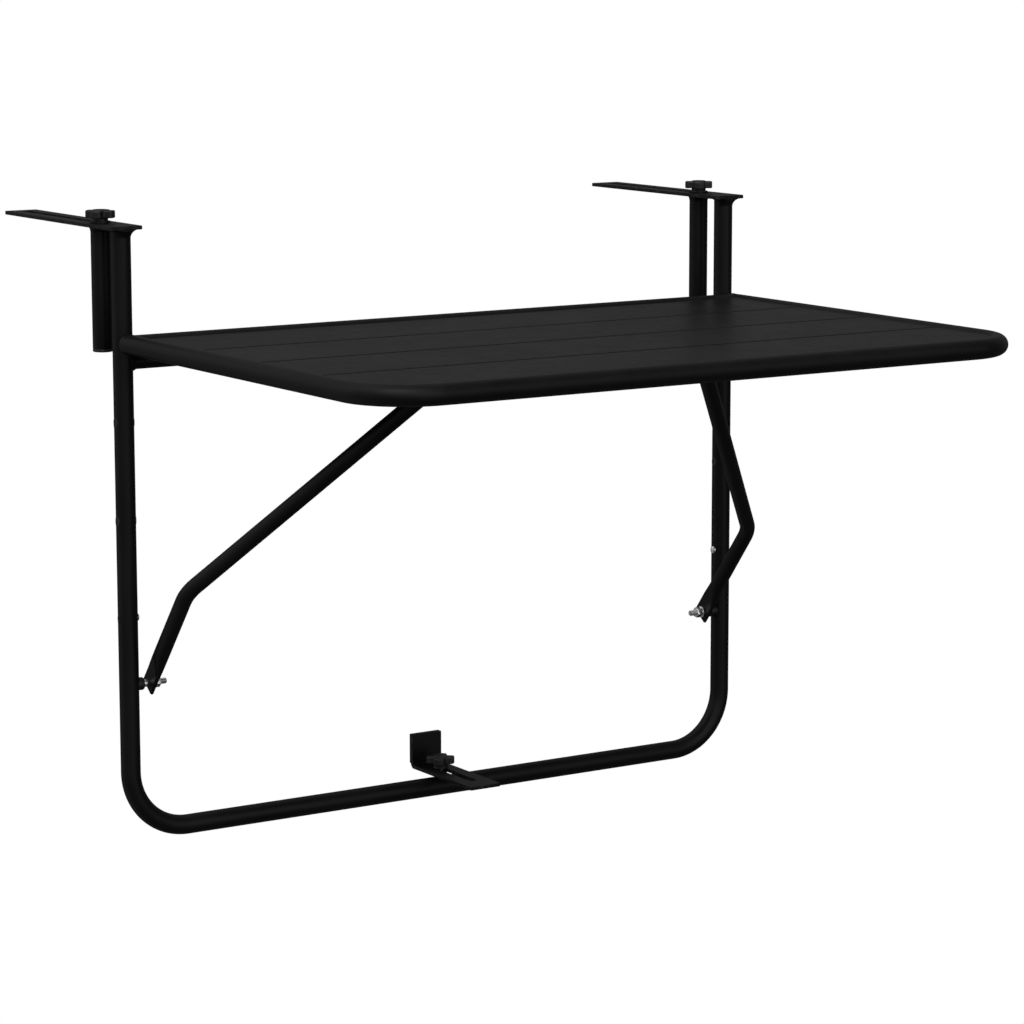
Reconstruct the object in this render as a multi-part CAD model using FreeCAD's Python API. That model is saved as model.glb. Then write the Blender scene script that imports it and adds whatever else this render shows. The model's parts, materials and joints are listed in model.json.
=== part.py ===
import FreeCAD, Part
import math
import os

os.makedirs("parts", exist_ok=True)

V = FreeCAD.Vector

# ---------------------------------------------------------------------------
# Hanging folding table. Millimetres, +Z up, +X to the right, +Y towards the
# railing. Origin: middle of the railing seat, level with the underside of the
# hook plates and in line with the rear faces of the two legs.
# ---------------------------------------------------------------------------

# overall sizes
TOP_WIDTH = 600.0            # outer width of tabletop and of the hanging frame
TOP_DEPTH = 400.0            # outer depth of the tabletop
TUBE_R = 8.0                 # 16 mm tube of hanging frame, tabletop rim, posts
TUBE_WALL = 1.2
THIN_R = 6.5                 # 13 mm tube of the support and the hinge bar
THIN_WALL = 1.2
CORNER_R = 50.0              # centre-line bend radius of frame and rim corners

# hanging frame
LEG_X = TOP_WIDTH / 2 - TUBE_R
LEG_Y = -TUBE_R
BOTTOM_Z = -487.0            # axis of the bottom run
HINGE_Y = LEG_Y
HINGE_Z = -104.7             # hinge bar axis
PIVOT_Z = -365.5             # pivot of the swinging support
PLUG_Z = (-153.2, -231.9)    # closed spare holes in the legs
PLUG_FLANGE = 0.35
RIVET_Z = -310.8             # rivet above each support pivot

# hook plates
HOOK_WIDTH = 28.5
HOOK_T = 3.0
HOOK_FRONT = -19.0
HOOK_REAR = 177.0
HOOK_SLOT_HALF = 4.3
HOOK_SLOT_FRONT = 16.0
HOOK_SLOT_REAR = 168.0
WELD_R = 7.0                 # concave weld in front of the leg top
BEAD_R = 1.3                 # small bead round the rest of it

# adjustable clamp posts
POST_Y = {"left": 27.3, "right": 28.9}
POST_BOTTOM = -100.0
POST_GAP = 0.5               # play between post and hook plate
CAP_T = 2.4
CLAMP_BOLT_R = 4.0
KNOB_TURN = {"left": 42.0, "right": 57.7, "stop": 52.0}

# tabletop
TABLE_Z = -90.0              # axis height of the rim tube
RIM_REAR_Y = -25.5
RIM_FRONT_Y = RIM_REAR_Y - TOP_DEPTH + 2 * TUBE_R
RIM_X = LEG_X
SIDE_END_Y = -19.5           # rear ends of the side runs
SLAT_COUNT = 4
SLAT_GAP = 2.4
SLAT_TOP = TABLE_Z + 5.6
SLAT_T = 0.8
SLAT_EDGE = 8.0              # depth of the turned-down edges
SLAT_BEND = 2.6
RAIL_X = 90.0
RAIL_WIDTH = 30.0
RAIL_T = 3.0
EYE_X = 200.0
EYE_WIDTH = 25.0
EYE_R = 9.5
RUN_FIT = 0.06               # radial play of turning fits

# swinging support (flat bent tube)
ARM_X = 273.4
BAR_Y = -217.3               # cross run axis at rest
BAR_Z = -104.2
BEND_S = 106.9               # distance from pivot to the first bend
BAR_HALF = 117.9             # half length of the cross run, corner to corner
SUPPORT_BEND_R = 32.0
PADDLE_T = 4.6
PADDLE_W = 16.6
PADDLE_END = -5.6
STUD_R = 2.5
STUD_TIP = 259.2             # inner end of the pivot stud

# lower railing stop, on a threaded insert in the bottom run
STOP_WIDTH = 29.0
STOP_T = 3.0
STOP_FRONT = -80.3
STOP_FACE = 14.0             # front face of the upright leg
STOP_TOP = -445.4
STOP_ARM_Z = -475.0          # underside of the slotted leg
STOP_SLOT = (-62.0, 5.0)
STOP_SLOT_HALF = 3.6
STOP_BOLT_R = 3.0
STOP_INSERT_R = 4.2          # sleeve of the threaded insert in the bottom run
STOP_WASHER_T = 2.0
PAD_T = 2.0

# hand knobs
KNOB_R = 11.9
KNOB_LOBE_HALF = 4.4
KNOB_HUB_R = 6.2
KNOB_STEM = 3.4
KNOB_LOBE_H = 4.6
KNOB_BOSS = 0.9


def cyl(p, d, r, length):
    return Part.makeCylinder(r, length, V(*p), V(*d))


def box(x0, y0, z0, x1, y1, z1):
    return Part.makeBox(x1 - x0, y1 - y0, z1 - z0, V(x0, y0, z0))


def save(name, solids):
    if not isinstance(solids, (list, tuple)):
        solids = [solids]
    flat = []
    for s in solids:
        flat.extend(s.Solids)
    shape = flat[0] if len(flat) == 1 else Part.makeCompound(flat)
    shape.exportStep("parts/%s.step" % name)
    print("%-24s solids %d  volume %.0f" % (name, len(flat), sum(s.Volume for s in flat)))


def round_path(points, radii):
    """Wire of straight runs joined by tangent arcs."""
    pts = [V(*p) for p in points]
    edges = []
    start = pts[0]
    for i in range(1, len(pts) - 1):
        a, b, c = pts[i - 1], pts[i], pts[i + 1]
        u = (a - b).normalize()
        w = (c - b).normalize()
        ang = u.getAngle(w)
        r = radii[i - 1]
        t = r / math.tan(ang / 2)
        p1 = b + u * t
        p2 = b + w * t
        bis = (u + w).normalize()
        centre = b + bis * (r / math.sin(ang / 2))
        mid = centre - bis * r
        edges.append(Part.LineSegment(start, p1).toShape())
        edges.append(Part.Arc(p1, mid, p2).toShape())
        start = p2
    edges.append(Part.LineSegment(start, pts[-1]).toShape())
    return Part.Wire(edges)


def sweep(path, start, direction, r):
    circle = Part.Wire([Part.Circle(V(*start), V(*direction), r).toShape()])
    return path.makePipe(Part.Face(circle))


def bent_tube(points, radii, r, wall):
    path = round_path(points, radii)
    d = V(*points[1]) - V(*points[0])
    outer = sweep(path, points[0], (d.x, d.y, d.z), r)
    inner = sweep(path, points[0], (d.x, d.y, d.z), r - wall)
    return outer, inner


def straight_tube(p, d, length, r, wall):
    return cyl(p, d, r, length).cut(cyl(p, d, r - wall, length))


def both_x(fn):
    return [fn(-1.0), fn(1.0)]


def knob(cx, cy, z0, turn):
    """Four-lobed hand knob standing on z0."""
    stem_h, lobe_h, boss_h = KNOB_STEM, KNOB_LOBE_H, KNOB_BOSS
    body = cyl((cx, cy, z0), (0, 0, 1), KNOB_HUB_R, stem_h + lobe_h + boss_h)
    body = body.makeChamfer(0.6, [e for e in body.Edges if abs(e.BoundBox.ZMin - (z0 + stem_h + lobe_h + boss_h)) < 1e-6 and e.BoundBox.ZLength < 1e-6])
    for k in range(2):
        bar = box(-KNOB_R + 2.0, -KNOB_LOBE_HALF, z0 + stem_h, KNOB_R - 2.0, KNOB_LOBE_HALF, z0 + stem_h + lobe_h)
        ends = Part.makeCylinder(KNOB_R, lobe_h, V(0, 0, z0 + stem_h))
        side = box(-KNOB_R - 1, -KNOB_LOBE_HALF, z0, KNOB_R + 1, KNOB_LOBE_HALF, z0 + 20)
        lobe = bar.fuse(ends.common(side)).removeSplitter()
        vert = [e for e in lobe.Edges if e.BoundBox.ZLength > lobe_h - 0.1 and e.Length < lobe_h + 0.1]
        try:
            lobe = lobe.makeFillet(1.2, vert)
        except Exception:
            pass
        lobe.rotate(V(0, 0, 0), V(0, 0, 1), turn + 90.0 * k)
        lobe.translate(V(cx, cy, 0))
        body = body.fuse(lobe)
    return body.removeSplitter()


# ---------------------------------------------------------------------------
# Hanging frame: one tube bent to a U, with the hinge bar between its legs
# ---------------------------------------------------------------------------
u_points = [(-LEG_X, LEG_Y, 0), (-LEG_X, LEG_Y, BOTTOM_Z), (LEG_X, LEG_Y, BOTTOM_Z), (LEG_X, LEG_Y, 0)]
u_outer, u_inner = bent_tube(u_points, [CORNER_R, CORNER_R], TUBE_R, TUBE_WALL)
u_tube = u_outer.cut(u_inner)

through = []
for sx in (-1.0, 1.0):
    for z in PLUG_Z:
        through.append(cyl((sx * LEG_X - 12, LEG_Y, z), (1, 0, 0), 2.6, 24))
    through.append(cyl((sx * LEG_X - 12, LEG_Y, RIVET_Z), (1, 0, 0), 2.4, 24))
    through.append(cyl((sx * LEG_X - 12, LEG_Y, PIVOT_Z), (1, 0, 0), STUD_R, 24))
through.append(cyl((0, LEG_Y, BOTTOM_Z), (0, 0, 1), STOP_INSERT_R + 0.05, TUBE_R + 2))
u_tube = u_tube.cut(through[0].multiFuse(through[1:]))
save("main_frame_tube", u_tube)

leg_solid = {}
for sx in (-1.0, 1.0):
    leg_solid[sx] = cyl((sx * LEG_X, LEG_Y, BOTTOM_Z + CORNER_R), (0, 0, 1), TUBE_R, -BOTTOM_Z - CORNER_R)

hinge_bar = straight_tube((-LEG_X, HINGE_Y, HINGE_Z), (1, 0, 0), 2 * LEG_X, THIN_R, THIN_WALL)
hinge_bar = hinge_bar.cut(leg_solid[-1.0].fuse(leg_solid[1.0]))
save("hinge_cross_tube", hinge_bar)

# spare holes closed with snap-in plugs, one rivet near each pivot
plugs, rivets, studs, spacers, washers, nuts = [], [], [], [], [], []
for sx in (-1.0, 1.0):
    inner_x = sx * (LEG_X - TUBE_R)      # face towards the middle of the table
    outer_x = sx * (LEG_X + TUBE_R)
    for z in PLUG_Z:
        shell = cyl((sx * LEG_X, LEG_Y, z - 6), (0, 0, 1), TUBE_R + PLUG_FLANGE, 12)
        shaft = cyl((sx * LEG_X - 12, LEG_Y, z), (1, 0, 0), 2.6, 24).common(shell)
        heads = cyl((sx * LEG_X - 12, LEG_Y, z), (1, 0, 0), 3.8, 24).common(shell).cut(leg_solid[sx])
        plugs.append(shaft.fuse(heads).removeSplitter())
    shaft = cyl((sx * LEG_X - 8.2, LEG_Y, RIVET_Z), (1, 0, 0), 2.4, 16.4)
    dome = Part.makeSphere(4.1, V(sx * (LEG_X - TUBE_R + 2.4), LEG_Y, RIVET_Z))
    dome = dome.common(box(min(inner_x - sx * 4, inner_x + sx * 4), LEG_Y - 6, RIVET_Z - 6, max(inner_x - sx * 4, inner_x + sx * 4), LEG_Y + 6, RIVET_Z + 6))
    dome = dome.cut(leg_solid[sx])
    shell = cyl((sx * LEG_X, LEG_Y, RIVET_Z - 6), (0, 0, 1), TUBE_R + 0.25, 12)
    flat = cyl((sx * LEG_X, LEG_Y, RIVET_Z), (sx, 0, 0), 3.2, 12).common(shell).cut(leg_solid[sx])
    rivets.append(shaft.fuse([dome, flat]).removeSplitter())

    # support pivot, from the leg inwards: spacer, shoulder of the stud,
    # support, washer, nut
    face = LEG_X - TUBE_R
    spacer_end = face - 4.1
    arm_out = ARM_X + PADDLE_T / 2 + 0.1
    arm_in = ARM_X - PADDLE_T / 2 - 0.1
    washer_end = arm_in - 1.0
    nut_end = washer_end - 4.7

    def along(lo, hi):
        return (min(sx * lo, sx * hi), abs(hi - lo))

    x0, ln = along(LEG_X + TUBE_R - 0.15, STUD_TIP)
    stud = cyl((x0, LEG_Y, PIVOT_Z), (1, 0, 0), STUD_R, ln)
    tip_x = sx * STUD_TIP
    stud = stud.makeChamfer(0.5, [e for e in stud.Edges if abs(e.BoundBox.XMin - tip_x) < 1e-6 and abs(e.BoundBox.XMax - tip_x) < 1e-6])
    x0, ln = along(arm_out, spacer_end)
    stud = stud.fuse(cyl((x0, LEG_Y, PIVOT_Z), (1, 0, 0), STUD_R + 0.6, ln)).removeSplitter()
    studs.append(stud)
    x0, ln = along(spacer_end, face + 2.2)
    sp = cyl((x0, LEG_Y, PIVOT_Z), (1, 0, 0), 5.2, ln)
    end_x = sx * spacer_end
    sp = sp.makeChamfer(0.6, [e for e in sp.Edges if abs(e.BoundBox.XMin - end_x) < 1e-6 and abs(e.BoundBox.XMax - end_x) < 1e-6])
    sp = sp.cut(leg_solid[sx]).cut(cyl((x0 - 1, LEG_Y, PIVOT_Z), (1, 0, 0), STUD_R, ln + 2))
    spacers.append(sp)
    x0, ln = along(washer_end, arm_in)
    washers.append(cyl((x0, LEG_Y, PIVOT_Z), (1, 0, 0), 5.0, ln).cut(cyl((x0 - 1, LEG_Y, PIVOT_Z), (1, 0, 0), STUD_R, ln + 2)))
    x0, ln = along(nut_end, washer_end)
    corner_r = 4.0 / math.cos(math.radians(30))
    hexa = Part.makePolygon([V(x0, LEG_Y + corner_r * math.cos(math.radians(60 * k + 12)), PIVOT_Z + corner_r * math.sin(math.radians(60 * k + 12))) for k in range(7)])
    nut = Part.Face(hexa).extrude(V(ln, 0, 0))
    cone = cyl((x0, LEG_Y, PIVOT_Z), (1, 0, 0), corner_r - 0.15, ln)
    cone = cone.makeChamfer(0.5, [e for e in cone.Edges if e.BoundBox.XLength < 1e-6])
    nuts.append(nut.common(cone).cut(cyl((x0 - 1, LEG_Y, PIVOT_Z), (1, 0, 0), STUD_R, ln + 2)))
save("leg_hole_plugs", plugs)
save("leg_rivets", rivets)
save("pivot_studs", studs)
save("pivot_spacers", spacers)
save("pivot_washers", washers)
save("pivot_nuts", nuts)

# hook plates with the slot for the clamp posts, welded on the leg tops
for sx, side in ((-1.0, "left"), (1.0, "right")):
    x0 = sx * LEG_X - HOOK_WIDTH / 2
    plate = box(x0, HOOK_FRONT, 0, x0 + HOOK_WIDTH, HOOK_REAR, HOOK_T)
    plate = plate.makeFillet(1.5, [e for e in plate.Edges if e.BoundBox.ZLength > HOOK_T - 0.1])
    slot = box(sx * LEG_X - HOOK_SLOT_HALF, HOOK_SLOT_FRONT + HOOK_SLOT_HALF, -1, sx * LEG_X + HOOK_SLOT_HALF, HOOK_SLOT_REAR - HOOK_SLOT_HALF, HOOK_T + 1)
    slot = slot.fuse([cyl((sx * LEG_X, y, -1), (0, 0, 1), HOOK_SLOT_HALF, HOOK_T + 2)
                      for y in (HOOK_SLOT_FRONT + HOOK_SLOT_HALF, HOOK_SLOT_REAR - HOOK_SLOT_HALF)])
    plate = plate.cut(slot)
    save("hook_plate_%s" % side, plate)

welds = []
for sx in (-1.0, 1.0):
    # concave weld on the front of the leg, small bead round the rest of it
    def cove(r, z0):
        ring = cyl((sx * LEG_X, LEG_Y, -r), (0, 0, 1), TUBE_R + r, r)
        ring = ring.cut(Part.makeTorus(TUBE_R + r, r, V(sx * LEG_X, LEG_Y, -r), V(0, 0, 1)))
        ring = ring.cut(cyl((sx * LEG_X, LEG_Y, -r - 1), (0, 0, 1), TUBE_R, r + 2))
        ring = ring.common(box(sx * LEG_X - 13.6, HOOK_FRONT + 0.3, z0, sx * LEG_X + 13.6, LEG_Y + 13.6, 0))
        return max(ring.Solids, key=lambda s: s.Volume)
    front = cove(WELD_R, -WELD_R + 0.2)
    wedge = Part.Face(Part.makePolygon([
        V(sx * LEG_X, LEG_Y, -20),
        V(sx * LEG_X + 40 * math.cos(math.radians(205)), LEG_Y + 40 * math.sin(math.radians(205)), -20),
        V(sx * LEG_X, LEG_Y - 60, -20),
        V(sx * LEG_X + 40 * math.cos(math.radians(335)), LEG_Y + 40 * math.sin(math.radians(335)), -20),
        V(sx * LEG_X, LEG_Y, -20)])).extrude(V(0, 0, 30))
    front = front.common(wedge)
    weld = front.fuse(cove(BEAD_R, -BEAD_R + 0.05)).removeSplitter()
    welds.append(max(weld.Solids, key=lambda s: s.Volume))
save("hook_plate_welds", welds)

# ---------------------------------------------------------------------------
# Clamp posts behind the railing, each hanging from its hook plate
# ---------------------------------------------------------------------------
for sx, side in ((-1.0, "left"), (1.0, "right")):
    x = sx * LEG_X
    post_y = POST_Y[side]
    z0, z1 = POST_BOTTOM + CAP_T, -POST_GAP
    post = straight_tube((x, post_y, z0), (0, 0, 1), z1 - z0, TUBE_R, TUBE_WALL)
    save("clamp_post_%s" % side, post)
    insert = cyl((x, post_y, z1 - 16), (0, 0, 1), TUBE_R - TUBE_WALL, 16)
    insert = insert.cut(cyl((x, post_y, z1 - 20), (0, 0, 1), CLAMP_BOLT_R + RUN_FIT, 30))
    save("clamp_post_insert_%s" % side, insert)
    cap = cyl((x, post_y, POST_BOTTOM), (0, 0, 1), TUBE_R, CAP_T)
    cap = cap.makeFillet(0.8, [e for e in cap.Edges if abs(e.BoundBox.ZMax - POST_BOTTOM) < 1e-6])
    cap = cap.fuse(cyl((x, post_y, z0), (0, 0, 1), TUBE_R - TUBE_WALL, 8)).removeSplitter()
    save("clamp_post_cap_%s" % side, cap)
    washer = cyl((x, post_y, HOOK_T + 0.1), (0, 0, 1), 8.0, 1.2).cut(cyl((x, post_y, 0), (0, 0, 1), CLAMP_BOLT_R, 10))
    save("clamp_washer_%s" % side, washer)
    zk = HOOK_T + 1.3
    bolt = cyl((x, post_y, -26), (0, 0, 1), CLAMP_BOLT_R, 26 + zk + 5.0)
    bolt = bolt.makeChamfer(0.7, [e for e in bolt.Edges if abs(e.BoundBox.ZMax + 26) < 1e-6])
    save("clamp_bolt_%s" % side, bolt)
    k = knob(x, post_y, zk, KNOB_TURN[side]).cut(cyl((x, post_y, 0), (0, 0, 1), CLAMP_BOLT_R, zk + 5.0))
    save("clamp_knob_%s" % side, k)

# ---------------------------------------------------------------------------
# Tabletop: rim tube with rounded front corners, rear tube, four steel slats
# ---------------------------------------------------------------------------
rim_points = [(-RIM_X, SIDE_END_Y, TABLE_Z), (-RIM_X, RIM_FRONT_Y, TABLE_Z), (RIM_X, RIM_FRONT_Y, TABLE_Z), (RIM_X, SIDE_END_Y, TABLE_Z)]
rim_outer, rim_inner = bent_tube(rim_points, [CORNER_R, CORNER_R], TUBE_R, TUBE_WALL)
save("table_rim_tube", rim_outer.cut(rim_inner))

side_solids = [cyl((sx * RIM_X, -10.0, TABLE_Z), (0, -1, 0), TUBE_R, TOP_DEPTH - 60) for sx in (-1.0, 1.0)]
rear = straight_tube((-RIM_X, RIM_REAR_Y, TABLE_Z), (1, 0, 0), 2 * RIM_X, TUBE_R, TUBE_WALL).cut(side_solids[0].fuse(side_solids[1]))
save("table_rear_tube", rear)

end_plugs = []
for sx in (-1.0, 1.0):
    flange = cyl((sx * RIM_X, SIDE_END_Y, TABLE_Z), (0, 1, 0), TUBE_R, 1.4)
    flange = flange.makeFillet(0.7, [e for e in flange.Edges if abs(e.BoundBox.YMin - SIDE_END_Y - 1.4) < 1e-6])
    end_plugs.append(flange.fuse(cyl((sx * RIM_X, SIDE_END_Y, TABLE_Z), (0, -1, 0), TUBE_R - TUBE_WALL, 9)).removeSplitter())
save("table_tube_plugs", end_plugs)

inner_rear = RIM_REAR_Y - TUBE_R
inner_front = RIM_FRONT_Y + TUBE_R
pitch = (inner_rear - inner_front) / SLAT_COUNT
for i in range(SLAT_COUNT):
    y1 = inner_rear - pitch * i - SLAT_GAP / 2
    y0 = inner_rear - pitch * (i + 1) + SLAT_GAP / 2
    zt, zb = SLAT_TOP, SLAT_TOP - SLAT_EDGE
    outer = box(-RIM_X, y0, zb, RIM_X, y1, zt)
    outer = outer.makeFillet(SLAT_BEND, [e for e in outer.Edges if e.BoundBox.XLength > 500 and e.BoundBox.ZMin > zt - 1e-3])
    hollow = box(-RIM_X - 1, y0 + SLAT_T, zb - 5, RIM_X + 1, y1 - SLAT_T, zt - SLAT_T)
    hollow = hollow.makeFillet(SLAT_BEND - SLAT_T, [e for e in hollow.Edges if e.BoundBox.XLength > 500 and e.BoundBox.ZMin > zt - SLAT_T - 1e-3])
    slat = outer.cut(hollow)
    # ends are cut to the curve of the rim tube
    slat = slat.cut(rim_outer)
    slat = max(slat.Solids, key=lambda s: s.Volume)
    save("table_slat_%d" % (i + 1), slat)

rail_z1 = SLAT_TOP - SLAT_EDGE
rail_z0 = rail_z1 - RAIL_T
rear_solid = cyl((-RIM_X, RIM_REAR_Y, TABLE_Z), (1, 0, 0), TUBE_R, 2 * RIM_X)
for sx, side in ((-1.0, "left"), (1.0, "right")):
    rail = box(sx * RAIL_X - RAIL_WIDTH / 2, RIM_FRONT_Y, rail_z0, sx * RAIL_X + RAIL_WIDTH / 2, RIM_REAR_Y, rail_z1)
    rail = rail.cut(rim_outer.fuse(rear_solid))
    rail = max(rail.Solids, key=lambda s: s.Volume)
    save("slat_rail_%s" % side, rail)

# hinge eyes turn on the hinge bar and are welded to the rear tube
for sx, side in ((-1.0, "left"), (1.0, "right")):
    x0 = sx * EYE_X - EYE_WIDTH / 2
    eye = cyl((x0, HINGE_Y, HINGE_Z), (1, 0, 0), EYE_R, EYE_WIDTH)
    dy, dz = RIM_REAR_Y - HINGE_Y, TABLE_Z - HINGE_Z
    dist = math.hypot(dy, dz)
    web = Part.makeBox(EYE_WIDTH, dist, 8.0, V(0, 0, -4.0))
    web.rotate(V(0, 0, 0), V(1, 0, 0), math.degrees(math.atan2(dz, dy)))
    web.translate(V(x0, HINGE_Y, HINGE_Z))
    eye = eye.fuse(web).cut(rear_solid).cut(cyl((x0 - 1, HINGE_Y, HINGE_Z), (1, 0, 0), THIN_R + RUN_FIT, EYE_WIDTH + 2))
    eye = max(eye.Solids, key=lambda s: s.Volume).removeSplitter()
    save("hinge_eye_%s" % side, eye)

# saddles under the rails, where the cross run of the support bears
for sx, side in ((-1.0, "left"), (1.0, "right")):
    r = THIN_R + 0.35
    ramp = math.radians(17.0)
    pts = []
    y_back = BAR_Y + r + 3.2
    z_back = BAR_Z - 2.0
    y_ramp = BAR_Y - r * math.sin(ramp)
    z_ramp = BAR_Z + r * math.cos(ramp)
    y_end = y_ramp - 12.0
    z_end = z_ramp - 12.0 * math.tan(ramp)
    profile = [(y_back, rail_z0), (y_back, z_back), (BAR_Y + r, z_back), (BAR_Y + r, BAR_Z)]
    e = [Part.LineSegment(V(0, *profile[k]), V(0, *profile[k + 1])).toShape() for k in range(3)]
    mid = math.radians(90 - 17.0) / 2
    a0 = 0.0
    a1 = math.radians(90 + 17.0)
    am = (a0 + a1) / 2
    e.append(Part.Arc(V(0, BAR_Y + r, BAR_Z), V(0, BAR_Y + r * math.cos(am), BAR_Z + r * math.sin(am)), V(0, y_ramp, z_ramp)).toShape())
    e.append(Part.LineSegment(V(0, y_ramp, z_ramp), V(0, y_end, z_end)).toShape())
    e.append(Part.LineSegment(V(0, y_end, z_end), V(0, y_end - 2.5, z_end + 1.5)).toShape())
    e.append(Part.LineSegment(V(0, y_end - 2.5, z_end + 1.5), V(0, y_end - 2.5, rail_z0)).toShape())
    e.append(Part.LineSegment(V(0, y_end - 2.5, rail_z0), V(0, y_back, rail_z0)).toShape())
    face = Part.Face(Part.Wire(e))
    saddle = face.extrude(V(22.0, 0, 0))
    saddle.translate(V(sx * RAIL_X - 11.0, 0, 0))
    save("support_saddle_%s" % side, saddle)

# ---------------------------------------------------------------------------
# Swinging support: one flat bent tube with flattened ends on the leg pivots
# ---------------------------------------------------------------------------
reach = math.hypot(BAR_Y - LEG_Y, BAR_Z - PIVOT_Z)
lean = math.atan2(-(BAR_Y - LEG_Y), BAR_Z - PIVOT_Z)
up = V(0, -math.sin(lean), math.cos(lean))
side_n = V(0, math.cos(lean), math.sin(lean))
pivot0 = V(0, LEG_Y, PIVOT_Z)
print("support reach %.2f lean %.2f deg" % (reach, math.degrees(lean)))


def in_plane(x, s):
    p = pivot0 + up * s
    return (x, p.y, p.z)


ROUND_FROM = 38.0
FLAT_FROM = 9.0
sup_pts = [in_plane(-ARM_X, ROUND_FROM), in_plane(-ARM_X, BEND_S), in_plane(-BAR_HALF, reach),
           in_plane(BAR_HALF, reach), in_plane(ARM_X, BEND_S), in_plane(ARM_X, ROUND_FROM)]
s_outer, s_inner = bent_tube(sup_pts, [SUPPORT_BEND_R] * 4, THIN_R, THIN_WALL)
support = s_outer.cut(s_inner)


def quarter_wire(x, s, a, b, corner):
    """Section across an arm: half sizes a along X, b along the side normal."""
    c = V(*in_plane(x, s))
    ex, en = V(1, 0, 0), side_n
    k = 1 - 1 / math.sqrt(2)

    def p(u, v):
        return c + ex * u + en * v
    edges = []
    if abs(a - b) < 1e-6 and abs(corner - a) < 1e-6:
        ang = [45, 135, 225, 315, 405]
        for i in range(4):
            t0, t1 = math.radians(ang[i]), math.radians(ang[i + 1])
            tm = (t0 + t1) / 2
            edges.append(Part.Arc(p(a * math.cos(t0), a * math.sin(t0)), p(a * math.cos(tm), a * math.sin(tm)), p(a * math.cos(t1), a * math.sin(t1))).toShape())
        return Part.Wire(edges)
    f = b - a
    edges.append(Part.Arc(p(a, f), p(0, b), p(-a, f)).toShape())
    edges.append(Part.LineSegment(p(-a, f), p(-a, -f)).toShape())
    edges.append(Part.Arc(p(-a, -f), p(0, -b), p(a, -f)).toShape())
    edges.append(Part.LineSegment(p(a, -f), p(a, f)).toShape())
    return Part.Wire(edges)


for sx in (-1.0, 1.0):
    x = sx * ARM_X
    w0 = quarter_wire(x, ROUND_FROM, THIN_R, THIN_R, THIN_R)
    w1 = quarter_wire(x, FLAT_FROM, PADDLE_T / 2, PADDLE_W / 2, PADDLE_T / 2)
    neck = Part.makeLoft([w0, w1], True, True)
    flat = Part.Face(quarter_wire(x, FLAT_FROM, PADDLE_T / 2, PADDLE_W / 2, PADDLE_T / 2)).extrude(up * (PADDLE_END - FLAT_FROM))
    arm = neck.fuse(flat)
    support = support.fuse(arm)
support = support.removeSplitter()
for sx in (-1.0, 1.0):
    support = support.cut(cyl((sx * ARM_X - 6, LEG_Y, PIVOT_Z), (1, 0, 0), STUD_R + RUN_FIT, 12))
save("support_tube", support)

# ---------------------------------------------------------------------------
# Lower railing stop: slotted angle held on the bottom run by a hand knob
# ---------------------------------------------------------------------------
hw = STOP_WIDTH / 2
arm = box(-hw, STOP_FRONT, STOP_ARM_Z, hw, STOP_FACE + STOP_T, STOP_ARM_Z + STOP_T)
arm = arm.makeFillet(2.5, [e for e in arm.Edges if e.BoundBox.ZLength > STOP_T - 0.1 and e.BoundBox.YMax < STOP_FRONT + 1])
upright = box(-hw, STOP_FACE, STOP_ARM_Z, hw, STOP_FACE + STOP_T, STOP_TOP)
bracket = arm.fuse(upright).removeSplitter()
inner_edge = [e for e in bracket.Edges if e.BoundBox.XLength > STOP_WIDTH - 0.1 and abs(e.BoundBox.YMin - STOP_FACE) < 1e-4 and abs(e.BoundBox.ZMin - STOP_ARM_Z - STOP_T) < 1e-4]
bracket = bracket.makeFillet(1.5, inner_edge)
outer_edge = [e for e in bracket.Edges if e.BoundBox.XLength > STOP_WIDTH - 0.1 and abs(e.BoundBox.YMin - STOP_FACE - STOP_T) < 1e-4 and abs(e.BoundBox.ZMin - STOP_ARM_Z) < 1e-4]
bracket = bracket.makeFillet(3.0, outer_edge)
ys0, ys1 = STOP_SLOT
slot = box(-STOP_SLOT_HALF, ys0 + STOP_SLOT_HALF, STOP_ARM_Z - 1, STOP_SLOT_HALF, ys1 - STOP_SLOT_HALF, STOP_ARM_Z + STOP_T + 1)
slot = slot.fuse([cyl((0, y, STOP_ARM_Z - 1), (0, 0, 1), STOP_SLOT_HALF, STOP_T + 2) for y in (ys0 + STOP_SLOT_HALF, ys1 - STOP_SLOT_HALF)])
bracket = bracket.cut(slot)
save("stop_bracket", bracket)

pad = box(-hw, STOP_FACE + STOP_T, STOP_ARM_Z + 4.0, hw, STOP_FACE + STOP_T + PAD_T, STOP_TOP)
pad = pad.makeFillet(0.8, [e for e in pad.Edges if abs(e.BoundBox.YMin - STOP_FACE - STOP_T - PAD_T) < 1e-6])
save("stop_pad", pad)

insert = cyl((0, LEG_Y, BOTTOM_Z + 3), (0, 0, 1), 5.6, STOP_ARM_Z - 0.05 - BOTTOM_Z - 3)
insert = insert.cut(cyl((-20, LEG_Y, BOTTOM_Z), (1, 0, 0), TUBE_R, 40))
insert = insert.fuse(cyl((0, LEG_Y, BOTTOM_Z - 1.5), (0, 0, 1), STOP_INSERT_R, STOP_ARM_Z - 1.0 - BOTTOM_Z + 1.5)).removeSplitter()
insert = insert.cut(cyl((0, LEG_Y, BOTTOM_Z - 5), (0, 0, 1), STOP_BOLT_R + RUN_FIT, 30))
save("stop_insert", insert)

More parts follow.
